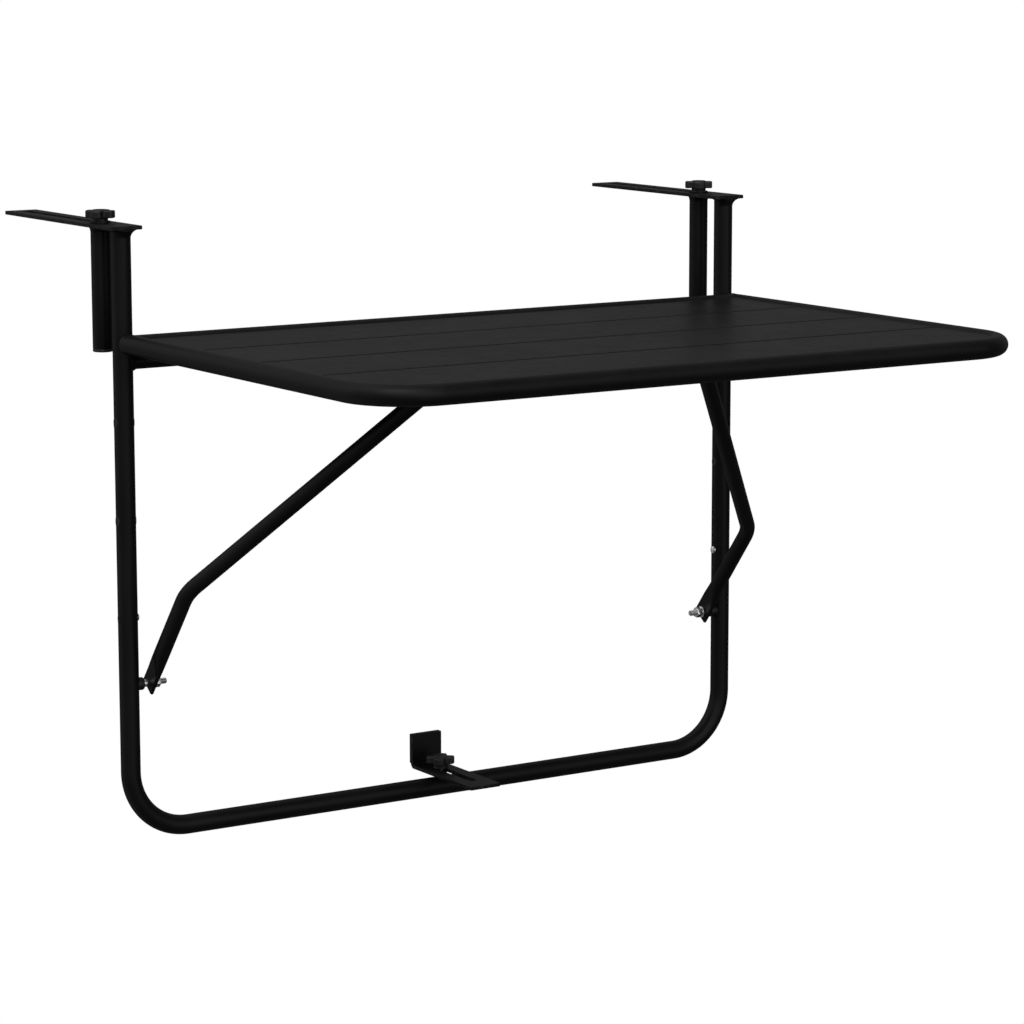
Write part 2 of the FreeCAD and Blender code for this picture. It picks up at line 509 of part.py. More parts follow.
zk = STOP_ARM_Z + STOP_T + 0.1 + STOP_WASHER_T
washer = cyl((0, LEG_Y, STOP_ARM_Z + STOP_T + 0.1), (0, 0, 1), 6.4, STOP_WASHER_T).cut(cyl((0, LEG_Y, STOP_ARM_Z), (0, 0, 1), STOP_BOLT_R, 10))
save("stop_washer", washer)
bolt = cyl((0, LEG_Y, BOTTOM_Z + 0.5), (0, 0, 1), STOP_BOLT_R, zk + 5.0 - BOTTOM_Z - 0.5)
bolt = bolt.makeChamfer(0.6, [e for e in bolt.Edges if abs(e.BoundBox.ZMax - BOTTOM_Z - 0.5) < 1e-6])
save("stop_bolt", bolt)
k = knob(0, LEG_Y, zk, KNOB_TURN["stop"]).cut(cyl((0, LEG_Y, BOTTOM_Z), (0, 0, 1), STOP_BOLT_R, zk + 5.0 - BOTTOM_Z))
save("stop_knob", k)
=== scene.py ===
import json
import math

import bmesh
import bpy
import numpy as np
from mathutils import Matrix, Vector
from mathutils.geometry import tessellate_polygon


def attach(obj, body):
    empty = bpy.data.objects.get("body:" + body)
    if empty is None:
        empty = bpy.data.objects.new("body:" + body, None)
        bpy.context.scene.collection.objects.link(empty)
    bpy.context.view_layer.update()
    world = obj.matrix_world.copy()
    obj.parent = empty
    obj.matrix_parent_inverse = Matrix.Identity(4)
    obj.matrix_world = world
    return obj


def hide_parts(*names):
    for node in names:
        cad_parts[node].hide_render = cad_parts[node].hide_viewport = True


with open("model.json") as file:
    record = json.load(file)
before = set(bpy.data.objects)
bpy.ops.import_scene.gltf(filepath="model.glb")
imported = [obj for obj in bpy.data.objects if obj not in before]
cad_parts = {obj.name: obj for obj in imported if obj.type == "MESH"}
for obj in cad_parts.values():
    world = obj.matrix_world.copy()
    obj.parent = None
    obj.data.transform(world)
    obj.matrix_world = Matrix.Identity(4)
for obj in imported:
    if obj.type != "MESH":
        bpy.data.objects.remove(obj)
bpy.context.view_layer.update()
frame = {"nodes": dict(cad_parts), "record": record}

NODES = frame["nodes"]
BODIES = frame["record"]["behaviour"]["bodies"]
BODY_OF = {n: b for b, members in BODIES.items() for n in members}
SLOT_OF = {s["node"]: s["material_slot"] for s in frame["record"]["subparts"]}
scene = bpy.context.scene
MM = 0.001
TAU = 2 * math.pi


# ===========================================================================
# Materials
# ===========================================================================
class Graph:
    """A small helper for building a node material."""

    def __init__(self, name):
        self.mat = bpy.data.materials.new(name)
        self.mat.use_nodes = True
        self.nt = self.mat.node_tree
        self.nt.nodes.clear()
        self.out = self.nt.nodes.new("ShaderNodeOutputMaterial")
        self.bsdf = self.nt.nodes.new("ShaderNodeBsdfPrincipled")
        self.nt.links.new(self.bsdf.outputs["BSDF"], self.out.inputs["Surface"])
        self.coord = self.nt.nodes.new("ShaderNodeTexCoord").outputs["Object"]

    def link(self, a, b):
        self.nt.links.new(a, b)

    def node(self, kind, **props):
        n = self.nt.nodes.new(kind)
        for k, v in props.items():
            setattr(n, k, v)
        return n

    def noise(self, scale, detail=2.0, rough=0.5, stretch=None, distortion=0.0):
        n = self.node("ShaderNodeTexNoise")
        n.inputs["Scale"].default_value = scale
        n.inputs["Detail"].default_value = detail
        n.inputs["Roughness"].default_value = rough
        n.inputs["Distortion"].default_value = distortion
        if stretch is None:
            self.link(self.coord, n.inputs["Vector"])
        else:
            m = self.node("ShaderNodeMapping")
            m.inputs["Scale"].default_value = stretch
            self.link(self.coord, m.inputs["Vector"])
            self.link(m.outputs["Vector"], n.inputs["Vector"])
        return n.outputs["Fac"]

    def remap(self, value, a, b, c, d):
        n = self.node("ShaderNodeMapRange")
        n.inputs["From Min"].default_value = a
        n.inputs["From Max"].default_value = b
        n.inputs["To Min"].default_value = c
        n.inputs["To Max"].default_value = d
        self.link(value, n.inputs["Value"])
        return n.outputs["Result"]

    def math(self, op, a, b=None):
        n = self.node("ShaderNodeMath", operation=op)
        for i, v in enumerate((a, b)):
            if v is None:
                continue
            if isinstance(v, (int, float)):
                n.inputs[i].default_value = v
            else:
                self.link(v, n.inputs[i])
        return n.outputs[0]

    def colour(self, fac, dark, light, lo=0.0, hi=1.0):
        n = self.node("ShaderNodeValToRGB")
        n.color_ramp.elements[0].position = lo
        n.color_ramp.elements[0].color = (*dark, 1)
        n.color_ramp.elements[1].position = hi
        n.color_ramp.elements[1].color = (*light, 1)
        self.link(fac, n.inputs["Fac"])
        return n.outputs["Color"]

    def mix(self, fac, a, b):
        n = self.node("ShaderNodeMix", data_type="RGBA")
        self.link(fac, n.inputs["Factor"])
        for k, v in (("A", a), ("B", b)):
            s = [i for i in n.inputs if i.name == k and i.type == "RGBA"][0]
            if isinstance(v, tuple):
                s.default_value = (*v, 1)
            else:
                self.link(v, s)
        return [o for o in n.outputs if o.type == "RGBA"][0]

    def attribute(self, name):
        n = self.node("ShaderNodeAttribute", attribute_name=name)
        return n.outputs["Fac"]

    def up(self):
        """How far the surface faces up, 0 to 1."""
        g = self.node("ShaderNodeNewGeometry")
        s = self.node("ShaderNodeSeparateXYZ")
        self.link(g.outputs["Normal"], s.inputs["Vector"])
        return self.remap(s.outputs["Z"], 0.2, 1.0, 0.0, 1.0)

    def bump(self, height, strength, distance, normal=None):
        n = self.node("ShaderNodeBump")
        n.inputs["Strength"].default_value = strength
        n.inputs["Distance"].default_value = distance
        self.link(height, n.inputs["Height"])
        if normal is not None:
            self.link(normal, n.inputs["Normal"])
        return n.outputs["Normal"]

    def to(self, socket, value):
        s = self.bsdf.inputs[socket]
        if isinstance(value, (int, float)):
            s.default_value = value
        elif isinstance(value, tuple):
            s.default_value = (*value, 1)
        else:
            self.link(value, s)


def powder_coat():
    g = Graph("powder_coat")
    broad = g.noise(14.0, 3.0, 0.55)
    mid = g.noise(160.0, 3.0, 0.6)
    peel = g.noise(1150.0, 2.0, 0.5)
    grain = g.noise(3600.0, 1.0, 0.5)
    base = g.colour(broad, (0.0040, 0.0040, 0.0043), (0.0062, 0.0062, 0.0064), 0.3, 0.7)
    # a little dust on surfaces that face up, in patches
    dust_fac = g.math("MULTIPLY", g.up(), g.remap(g.noise(38.0, 4.0, 0.6), 0.42, 0.75, 0.05, 0.35))
    base = g.mix(dust_fac, base, (0.016, 0.016, 0.0155))
    # paint is rubbed at sheared edges; on the clamp post's lower rim the same lighter edge colour also paints a
    # highlight line
    edge = g.math("MULTIPLY", g.attribute("edge"), g.remap(mid, 0.48, 0.70, 0.0, 0.5))
    base = g.mix(edge, base, (0.030, 0.030, 0.030))
    g.to("Base Color", base)
    rough = g.math("ADD", g.remap(broad, 0.3, 0.7, 0.32, 0.38), g.remap(mid, 0.3, 0.7, -0.02, 0.03))
    rough = g.math("ADD", rough, g.math("MULTIPLY", dust_fac, 0.2))
    g.to("Roughness", rough)
    g.to("Specular IOR Level", 0.12)
    n = g.bump(peel, 0.10, 0.00012)
    n = g.bump(grain, 0.10, 0.00004, n)
    n = g.bump(broad, 0.10, 0.0006, n)
    g.to("Normal", n)
    return g.mat


def black_plastic():
    g = Graph("black_plastic")
    broad = g.noise(60.0, 3.0, 0.55)
    grain = g.noise(2400.0, 2.0, 0.55)
    base = g.colour(broad, (0.0052, 0.0052, 0.0054), (0.0085, 0.0085, 0.0086), 0.3, 0.7)
    # lighter at marked edges: worn plastic, and on the clamp post caps' flange rim also a painted highlight line
    edge = g.math("MULTIPLY", g.attribute("edge"), g.remap(broad, 0.4, 0.7, 0.1, 0.6))
    base = g.mix(edge, base, (0.024, 0.024, 0.024))
    g.to("Base Color", base)
    g.to("Roughness", g.remap(broad, 0.3, 0.7, 0.36, 0.48))
    g.to("Specular IOR Level", 0.30)
    n = g.bump(grain, 0.22, 0.00006)
    n = g.bump(g.noise(420.0, 2.0, 0.5), 0.10, 0.0001, n)
    g.to("Normal", n)
    return g.mat


def zinc():
    g = Graph("zinc")
    blot = g.noise(340.0, 4.0, 0.6)
    fine = g.noise(2600.0, 2.0, 0.6)
    base = g.colour(blot, (0.60, 0.61, 0.63), (0.82, 0.82, 0.82), 0.32, 0.68)
    # painted shade: the zinc is darkened in the thread grooves, where shade falls in the roots
    groove_shade = g.attribute("groove_shade")
    base = g.mix(groove_shade, base, (0.16, 0.16, 0.165))
    g.to("Base Color", base)
    g.to("Metallic", 1.0)
    g.to("Roughness", g.math("ADD", g.remap(blot, 0.3, 0.7, 0.20, 0.36), g.math("MULTIPLY", groove_shade, 0.2)))
    g.to("Normal", g.bump(fine, 0.12, 0.00005))
    return g.mat


def rubber():
    g = Graph("rubber")
    broad = g.noise(90.0, 3.0, 0.6)
    grain = g.noise(1800.0, 3.0, 0.6)
    base = g.colour(broad, (0.0075, 0.0075, 0.0075), (0.0135, 0.0135, 0.0132), 0.3, 0.7)
    base = g.mix(g.math("MULTIPLY", g.attribute("edge"), 0.5), base, (0.022, 0.022, 0.022))
    g.to("Base Color", base)
    g.to("Roughness", g.remap(broad, 0.3, 0.7, 0.66, 0.82))
    g.to("Specular IOR Level", 0.25)
    g.to("Normal", g.bump(grain, 0.35, 0.0001))
    return g.mat


MATS = {"powder_coat": powder_coat(), "black_plastic": black_plastic(), "zinc": zinc(), "rubber": rubber()}


# ===========================================================================
# Mesh helpers (all in millimetres, written out in metres)
# ===========================================================================
class Shape:
    def __init__(self):
        self.v, self.f = [], []
        self.edge, self.groove_shade = [], []
        self.count = 0

    def add(self, verts, faces, edge=0.0, groove_shade=0.0):
        verts = np.asarray(verts, float).reshape(-1, 3)
        n = len(verts)
        off = self.count
        self.v.append(verts)
        self.f.extend([tuple(i + off for i in f) for f in faces])
        self.edge.append(np.broadcast_to(np.asarray(edge, float), (n,)).copy())
        self.groove_shade.append(np.broadcast_to(np.asarray(groove_shade, float), (n,)).copy())
        self.count += n
        return off

    def loft(self, rings, closed=True, cap0=False, cap1=False, loop=False, edge=None, groove_shade=None):
        """Quads between rows of points. cap0, cap1: close the first or last row with a fan."""
        rings = np.asarray(rings, float)
        m, n, _ = rings.shape
        faces = []
        rows = m if loop else m - 1
        cols = n if closed else n - 1
        for i in range(rows):
            a, b = i * n, ((i + 1) % m) * n
            for j in range(cols):
                k = (j + 1) % n
                faces.append((a + j, a + k, b + k, b + j))
        verts = [rings.reshape(-1, 3)]
        e = np.zeros(m * n) if edge is None else np.repeat(np.broadcast_to(np.asarray(edge, float), (m,)), n)
        g = np.zeros(m * n) if groove_shade is None else np.asarray(groove_shade, float).reshape(-1)
        extra = m * n
        for flag, row in ((cap0, 0), (cap1, m - 1)):
            if flag:
                verts.append(rings[row].mean(0)[None])
                e = np.append(e, e[row * n])
                g = np.append(g, 0.0)
                for j in range(n):
                    k = (j + 1) % n
                    tri = (row * n + j, row * n + k, extra)
                    faces.append(tri if row else tri[::-1])
                extra += 1
        return self.add(np.concatenate(verts), faces, e, g)

    def build(self, name, material, sharp=38.0, weighted=False):
        v = np.concatenate(self.v) * MM
        mesh = bpy.data.meshes.new(name)
        mesh.from_pydata(v.tolist(), [], self.f)
        bm = bmesh.new()
        bm.from_mesh(mesh)
        bmesh.ops.recalc_face_normals(bm, faces=bm.faces)
        bm.to_mesh(mesh)
        bm.free()
        for key, data in (("edge", self.edge), ("groove_shade", self.groove_shade)):
            a = mesh.attributes.new(key, "FLOAT", "POINT")
            a.data.foreach_set("value", np.concatenate(data).astype(np.float32))
        mesh.polygons.foreach_set("use_smooth", [True] * len(mesh.polygons))
        mesh.set_sharp_from_angle(angle=math.radians(sharp))
        mesh.materials.append(material)
        mesh.update()
        obj = bpy.data.objects.new(name, mesh)
        scene.collection.objects.link(obj)
        if weighted:
            w = obj.modifiers.new("weighted", "WEIGHTED_NORMAL")
            w.keep_sharp = True
        return obj


def stand_in(shape, node, sharp=38.0, weighted=False, name=None, slot=None):
    slot = slot or SLOT_OF[node]
    obj = shape.build(name or node + "_look", MATS[slot], sharp, weighted)
    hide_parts(node)
    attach(obj, BODY_OF[node])
    return obj


def unit(v):
    v = np.asarray(v, float)
    return v / np.linalg.norm(v)


def rounded(points, radii, steps=8, closed=False):
    """Points along a polyline with rounded corners; works in 2-D and 3-D."""
    p = [np.asarray(q, float) for q in points]
    n = len(p)
    out = []
    if not closed:
        out.append(p[0])
    idx = range(n) if closed else range(1, n - 1)
    for i in idx:
        a, b, c = p[i - 1], p[i], p[(i + 1) % n]
        r = radii[i] if closed else radii[i - 1]
        u, w = unit(a - b), unit(c - b)
        ang = math.acos(float(np.clip(u @ w, -1, 1)))
        if r <= 1e-9 or ang > math.pi - 1e-6:
            out.append(b)
            continue
        t = r / math.tan(ang / 2)
        bis = unit(u + w)
        centre = b + bis * (r / math.sin(ang / 2))
        s, e = b + u * t - centre, b + w * t - centre
        sweep = math.acos(float(np.clip(unit(s) @ unit(e), -1, 1)))
        for k in range(steps + 1):
            f = k / steps
            out.append(centre + (math.sin((1 - f) * sweep) * s + math.sin(f * sweep) * e) / math.sin(sweep))
    if not closed:
        out.append(p[-1])
    return np.array(out)


def densify(path, step):
    """Adds points on long straight runs."""
    out = [path[0]]
    for a, b in zip(path[:-1], path[1:]):
        n = max(1, int(np.linalg.norm(b - a) / step))
        for k in range(1, n + 1):
            out.append(a + (b - a) * k / n)
    return np.array(out)


def tangents(path):
    d = np.diff(path, axis=0)
    d /= np.linalg.norm(d, axis=1)[:, None]
    t = np.concatenate([d[:1], d[:-1] + d[1:], d[-1:]])
    return t / np.linalg.norm(t, axis=1)[:, None]


def circle(n, phase=0.0):
    a = np.arange(n) / n * TAU + phase
    return np.cos(a), np.sin(a)


def sweep_rings(path, normal, r, n=56):
    """Rings round a planar path; normal is the plane's normal."""
    t = tangents(path)
    nrm = unit(normal)
    side = np.cross(nrm, t)
    side /= np.linalg.norm(side, axis=1)[:, None]
    c, s = circle(n)
    r = np.broadcast_to(np.asarray(r, float), (len(path),))
    return path[:, None, :] + r[:, None, None] * (c[None, :, None] * side[:, None, :] + s[None, :, None] * nrm[None, None, :])


def basis(axis):
    axis = unit(axis)
    ref = np.array([0, 0, 1.0]) if abs(axis[2]) < 0.9 else np.array([1.0, 0, 0])
    u = unit(np.cross(ref, axis))
    return u, np.cross(axis, u), axis


def lathe(shape, origin, axis, profile, n=56, edge=0.0, groove_shade=0.0, loop=False):
    """profile: rows of (radius, height along the axis)."""
    u, w, a = basis(axis)
    o = np.asarray(origin, float)
    prof = np.asarray(profile, float)
    c, s = circle(n)
    rings = []
    for r, h in prof:
        rr = max(r, 1e-4)
        rings.append(o + a * h + rr * (c[:, None] * u + s[:, None] * w))
    g = np.zeros((len(prof), n)) + groove_shade
    e = np.broadcast_to(np.asarray(edge, float), (len(prof),))
    shape.loft(rings, cap0=not loop and prof[0, 0] < 0.02, cap1=not loop and prof[-1, 0] < 0.02, loop=loop, edge=e, groove_shade=g)


def arc2(cx, cy, r, a0, a1, n):
    a = np.radians(np.linspace(a0, a1, n + 1))
    return [(cx + r * math.cos(t), cy + r * math.sin(t)) for t in a]


def offset_loop(loop, d):
    """Moves a dense counter-clockwise loop inwards by d."""
    p = np.asarray(loop, float)
    a, b = np.roll(p, 1, 0), np.roll(p, -1, 0)
    e1, e2 = p - a, b - p
    n1 = np.stack([-e1[:, 1], e1[:, 0]], 1) / np.linalg.norm(e1, axis=1)[:, None]
    n2 = np.stack([-e2[:, 1], e2[:, 0]], 1) / np.linalg.norm(e2, axis=1)[:, None]
    m = n1 + n2
    m /= np.linalg.norm(m, axis=1)[:, None]
    k = 1.0 / np.maximum(0.35, (m * n1).sum(1))
    return p + m * (d * k)[:, None]


def dense_loop(loop, step):
    p = np.asarray(loop, float)
    out = []
    for a, b in zip(p, np.roll(p, -1, 0)):
        n = max(1, int(np.linalg.norm(b - a) / step))
        out.extend(a + (b - a) * k / n for k in range(n))
    return np.array(out)


def tidy_loop(loop, tol=1e-6):
    p = np.asarray(loop, float)
    keep = [i for i in range(len(p)) if np.linalg.norm(p[i] - p[i - 1]) > tol]
    p = p[keep]
    area = 0.5 * np.sum(p[:, 0] * np.roll(p[:, 1], -1) - np.roll(p[:, 0], -1) * p[:, 1])
    return p if area > 0 else p[::-1]


def slab(shape, outer, holes, h0, h1, bevel, place, steps=4, bevel_low=None):
    """A plate with rounded edges. outer and holes are loops, h0 to h1 its thickness, place maps (x, y, h) to space."""
    outer = tidy_loop(outer)
    holes = [tidy_loop(h) for h in holes]
    low = bevel if bevel_low is None else bevel_low
    levels = []
    for k in range(steps + 1):
        a = math.pi / 2 * k / steps
        levels.append((low * (1 - math.sin(a)), h0 + low * (1 - math.cos(a))))
    top = []
    for k in range(steps + 1):
        a = math.pi / 2 * k / steps
        top.append((bevel * (1 - math.cos(a)), h1 - bevel * (1 - math.sin(a))))
    # only the rounded edges are marked as worn, not the flat faces or a wide side
    wide = [(0.0, h0 + low + 0.5), (0.0, h1 - bevel - 0.5)] if h1 - h0 > 4 else []
    worn = [0.0] + [1.0] * steps + [0.0] * len(wide) + [1.0] * steps + [0.0]
    levels += wide + top

    def rings(loop, sign):
        rows = []
        for o, h in levels:
            q = offset_loop(loop, sign * o)
            rows.append(place(q[:, 0], q[:, 1], np.full(len(q), h)))
        return rows

    offs = [(shape.loft(rings(outer, 1.0), edge=worn), len(outer))]
    for h in holes:
        offs.append((shape.loft(rings(h, -1.0), edge=worn), len(h)))
    last = len(levels) - 1
    for row, o in ((0, levels[0][0]), (last, levels[last][0])):
        loops = [offset_loop(outer, o)] + [offset_loop(h, -o) for h in holes]
        tri = tessellate_polygon([[Vector((x, y, 0)) for x, y in lp] for lp in loops])
        index = []
        for (start, n) in offs:
            index.extend(range(start + row * n, start + row * n + n))
        for t in tri:
            shape.f.append(tuple(index[i] for i in t))


def stadium(half, a, b, along="y", cx=0.0, n=16):
    """Slot outline: half width, from a to b overall, along x or y."""
    pts = arc2(cx, b - half, half, 0, 180, n) + arc2(cx, a + half, half, 180, 360, n)
    if along == "x":
        pts = [(y, x) for x, y in pts]
    return pts


def round_rect(x0, y0, x1, y1, r, n=6):
    return rounded([(x0, y0), (x1, y0), (x1, y1), (x0, y1)], [r] * 4, n, closed=True)


def ripple(t, seed=0.0):
    """Even scales of a weld bead, with a little irregularity."""
    return 0.80 + 0.20 * np.abs(np.cos(math.pi * t + 0.35 * np.sin(2.3 * t + seed))) ** 0.8 + 0.05 * np.sin(1.7 * t + seed)


def bead(shape, path, out_dir, width, height, scale=1.5, taper=1.5, seed=0.0, n=10):
    """A weld bead: a rippled half-round strip along a path. out_dir: direction away from the joint at each point."""
    path = np.asarray(path, float)
    t = tangents(path)
    o = np.broadcast_to(np.asarray(out_dir, float), path.shape)
    o = o / np.linalg.norm(o, axis=1)[:, None]
    side = np.cross(t, o)
    side /= np.linalg.norm(side, axis=1)[:, None]
    d = np.concatenate([[0], np.cumsum(np.linalg.norm(np.diff(path, axis=0), axis=1))])
    total = d[-1]
    k = ripple(d / scale, seed)
    end = np.clip(np.minimum(d, total - d) / taper, 0.02, 1) ** 0.5
    a = np.linspace(0, TAU, 2 * n, endpoint=False)
    prof_s = np.cos(a)
    prof_o = np.where(np.sin(a) > 0, np.sin(a), 0.5 * np.sin(a))
    wobble = 1 + 0.10 * np.sin(d * 0.9 + seed * 3)
    rings = path[:, None, :] + (width * wobble * end)[:, None, None] * prof_s[None, :, None] * side[:, None, :] \
        + (height * k * end)[:, None, None] * prof_o[None, :, None] * o[:, None, :]
    shape.loft(rings, cap0=True, cap1=True)


# ===========================================================================
# Sizes (mm)
# ===========================================================================
TUBE_R, THIN_R, CORNER_R = 8.0, 6.5, 50.0
LEG_X, LEG_Y, BOTTOM_Z = 292.0, -8.0, -487.0
HINGE_Z, PIVOT_Z, RIVET_Z = -104.7, -365.5, -310.8
PLUG_Z = (-153.2, -231.9)
POST_Y = {"left": 27.3, "right": 28.9}
TABLE_Z, REAR_Y, FRONT_Y, SIDE_END_Y = -90.0, -25.5, -409.5, -19.5
SIDES = (("left", -1.0), ("right", 1.0))

# ---------------------------------------------------------------- hanging frame
s = Shape()
path = rounded([(-LEG_X, LEG_Y, 0), (-LEG_X, LEG_Y, BOTTOM_Z), (LEG_X, LEG_Y, BOTTOM_Z), (LEG_X, LEG_Y, 0)], [CORNER_R] * 2, 28)
path = densify(path, 12.0)
outer = sweep_rings(path, (0, 1, 0), TUBE_R, 72)
inner = sweep_rings(path, (0, 1, 0), TUBE_R - 1.2, 72)
s.loft(np.concatenate([outer, inner[::-1]]), loop=True)
stand_in(s, "main_frame_tube", 50)


def end_on_cylinder(sign, off, centre, r):
    """x of the point where a line along X at offset off from a cylinder's axis meets it."""
    return sign * (centre - np.sqrt(np.maximum(r * r - off * off, 0)))


def coped_bar(shape, y, z, r, r_in, target_r, cross, bead_w, bead_h, n=72):
    """A bar along X whose ends fit onto cylinders at +-LEG_X. cross is the coordinate (0: y, 1: z) that sets the cope."""
    a = np.arange(n) / n * TAU
    c, sn = np.cos(a), np.sin(a)
    off_dir = c if cross == 0 else sn
    rows = []
    # from the left end to the right end; s is the distance from the joint
    steps = [0.0, 0.25, 0.5, 0.8, 1.1, 1.45, 1.8, 2.2, 2.7, 3.4, 5.0, 20.0, 60.0]
    lim = 0.93 * target_r
    for sign in (-1.0, 1.0):
        block = []
        for d in steps:
            f = np.clip(1 - d / bead_w, 0, 1)
            scales = 0.72 + 0.28 * np.abs(np.cos(a * r / 1.9 + 0.4 * np.sin(3 * a) + sign))
            bump = bead_h * np.sqrt(np.clip(f * (2 - f), 0, 1)) * scales * (1 - 0.55 * off_dir ** 2)
            rr = r + bump
            off = np.clip(rr * off_dir, -lim - 0.07 * target_r * (r >= target_r), lim + 0.07 * target_r * (r >= target_r))
            x = end_on_cylinder(sign, off, LEG_X, target_r) - sign * d * (1 if d else 0)
            block.append(np.stack([x, y + rr * c, z + rr * sn], 1))
        rows.extend(block if sign < 0 else block[::-1])
    shape.loft(rows, cap0=False, cap1=False)


s = Shape()
coped_bar(s, LEG_Y, HINGE_Z, THIN_R, THIN_R - 1.2, TUBE_R, 0, 2.4, 1.25)
stand_in(s, "hinge_cross_tube", 60)

# hook plates
for side, sx in SIDES:
    s = Shape()
    x = sx * LEG_X
    slab(s, round_rect(x - 14.25, -19.0, x + 14.25, 177.0, 1.5), [stadium(4.3, 16.0, 168.0, cx=x)], 0.0, 3.0, 0.35,
         lambda px, py, h: np.stack([px, py, h], 1))
    stand_in(s, "hook_plate_" + side, 40, weighted=True)

# weld round the top of each leg: concave in front, a small bead behind
s = Shape()
for sx in (-1.0, 1.0):
    n = 180
    a = np.arange(n) / n * TAU
    deg = np.degrees(a)
    front = np.clip(np.minimum(deg - 203, 337 - deg) / 9.0, 0, 1)
    front = front * front * (3 - 2 * front)
    scales = ripple(a * TUBE_R / 1.35, 1.0 + sx)
    rows = []
    m = 10
    for k in range(m + 1):
        t = k / m
        # cove: quarter circle hollow towards the corner; bead: bulging
        ang = t * math.pi / 2
        cr, cz = 7.0 * (1 - math.sin(ang)), -7.0 * (1 - math.cos(ang))
        br = 1.45 * math.cos(ang)
        bz = -1.45 * math.sin(ang)
        thick = 0.32 * math.sin(math.pi * t) * (scales - 0.6)
        wide = cr + thick
        down = cz - thick
        radius = TUBE_R - 0.05 + front * wide + (1 - front) * (br * (0.75 + 0.25 * scales))
        zz = 0.02 + front * down + (1 - front) * (bz * (0.75 + 0.25 * scales))
        px, py = radius * np.cos(a), radius * np.sin(a)
        over = np.maximum(np.abs(px) / 13.7, np.maximum(-py / 10.6, 0))
        shrink = np.where(over > 1, 1 / over, 1)
        rows.append(np.stack([sx * LEG_X + px * shrink, LEG_Y + py * shrink, zz], 1))
    s.loft(rows)
stand_in(s, "hook_plate_welds", 60)


def on_leg(sx, u, z, h, side):
    """Points on the leg's surface: u along its girth and z along it, raised by h. side: -1 towards the middle, 1 away."""
    ang = u / TUBE_R
    rr = TUBE_R + h
    return np.stack([sx * LEG_X + sx * side * rr * np.cos(ang), LEG_Y + rr * np.sin(ang), z], 1)


def leg_cap(shape, sx, z, side, prof, n=36, edge=None):
    """A round cap lying on the leg: prof is rows of (radius, height)."""
    c, sn = circle(n)
    rows = [on_leg(sx, max(r, 1e-4) * c, z + max(r, 1e-4) * sn, np.full(n, h), side) for r, h in prof]
    shape.loft(rows, cap0=prof[0][0] < 0.02, cap1=prof[-1][0] < 0.02, edge=edge)


s = Shape()
for sx in (-1.0, 1.0):
    for z in PLUG_Z:
        for side in (-1, 1):
            prof = [(3.8, -0.3), (3.8, 0.12), (3.72, 0.24), (3.5, 0.32), (3.2, 0.35), (2.3, 0.35), (2.1, 0.31), (1.9, 0.22), (1.7, 0.2), (0.0, 0.2)]
            leg_cap(s, sx, z, side, prof, edge=[0, .6, 1, .6, 0, 0, 0, 0, 0, 0])
stand_in(s, "leg_hole_plugs", 40)

s, outside = Shape(), Shape()
for sx in (-1.0, 1.0):
    prof = [(3.3, -0.3), (3.3, 0.0)]
    for k in range(9):
        r = 3.3 * math.cos(math.pi / 2 * k / 8)
        prof.append((r, 1.7 * math.sin(math.pi / 2 * k / 8)))
    leg_cap(s, sx, RIVET_Z, -1, prof)
    leg_cap(outside, sx, RIVET_Z, 1, [(3.2, -0.3), (3.2, 0.1), (3.05, 0.2), (2.7, 0.25), (0.0, 0.25)])
stand_in(s, "leg_rivets", 40)
stand_in(outside, "leg_rivets", 40, name="leg_rivets_coated", slot="powder_coat")


# ---------------------------------------------------------------- screws and pivots
def thread(shape, origin, axis, r, pitch, h0, h1, chamfer0=0.0, chamfer1=0.0, n=40, per=8, depth=None, handed=1.0):
    """A screw thread as a height field round a rod."""
    depth = 0.58 * pitch if depth is None else depth
    u, w, ax = basis(axis)
    o = np.asarray(origin, float)
    rows_n = max(3, int((h1 - h0) / pitch * per) + 1)
    h = np.linspace(h0, h1, rows_n)
    a = np.arange(n) / n * TAU
    phase = (h[:, None] / pitch - handed * a[None, :] / TAU) % 1.0
    tri = np.abs(2 * phase - 1)
    tri = np.clip((tri - 0.08) / 0.84, 0, 1)
    rr = r - depth * (1 - tri)
    run0 = np.clip((h - h0) / (1.2 * pitch), 0, 1)[:, None] if chamfer0 else 1
    if chamfer0:
        rr = np.minimum(rr, r - chamfer0 + (h[:, None] - h0))
    if chamfer1:
        rr = np.minimum(rr, r - chamfer1 + (h1 - h[:, None]))
    rings = o + ax * h[:, None, None] + rr[:, :, None] * (np.cos(a)[None, :, None] * u + np.sin(a)[None, :, None] * w)
    # painted shade: the deeper the thread cuts in, the darker the zinc is painted there
    groove_shade = np.clip((r - rr) / depth, 0, 1) ** 1.5 * 0.8
    shape.loft(rings, cap0=True, cap1=True, groove_shade=groove_shade)


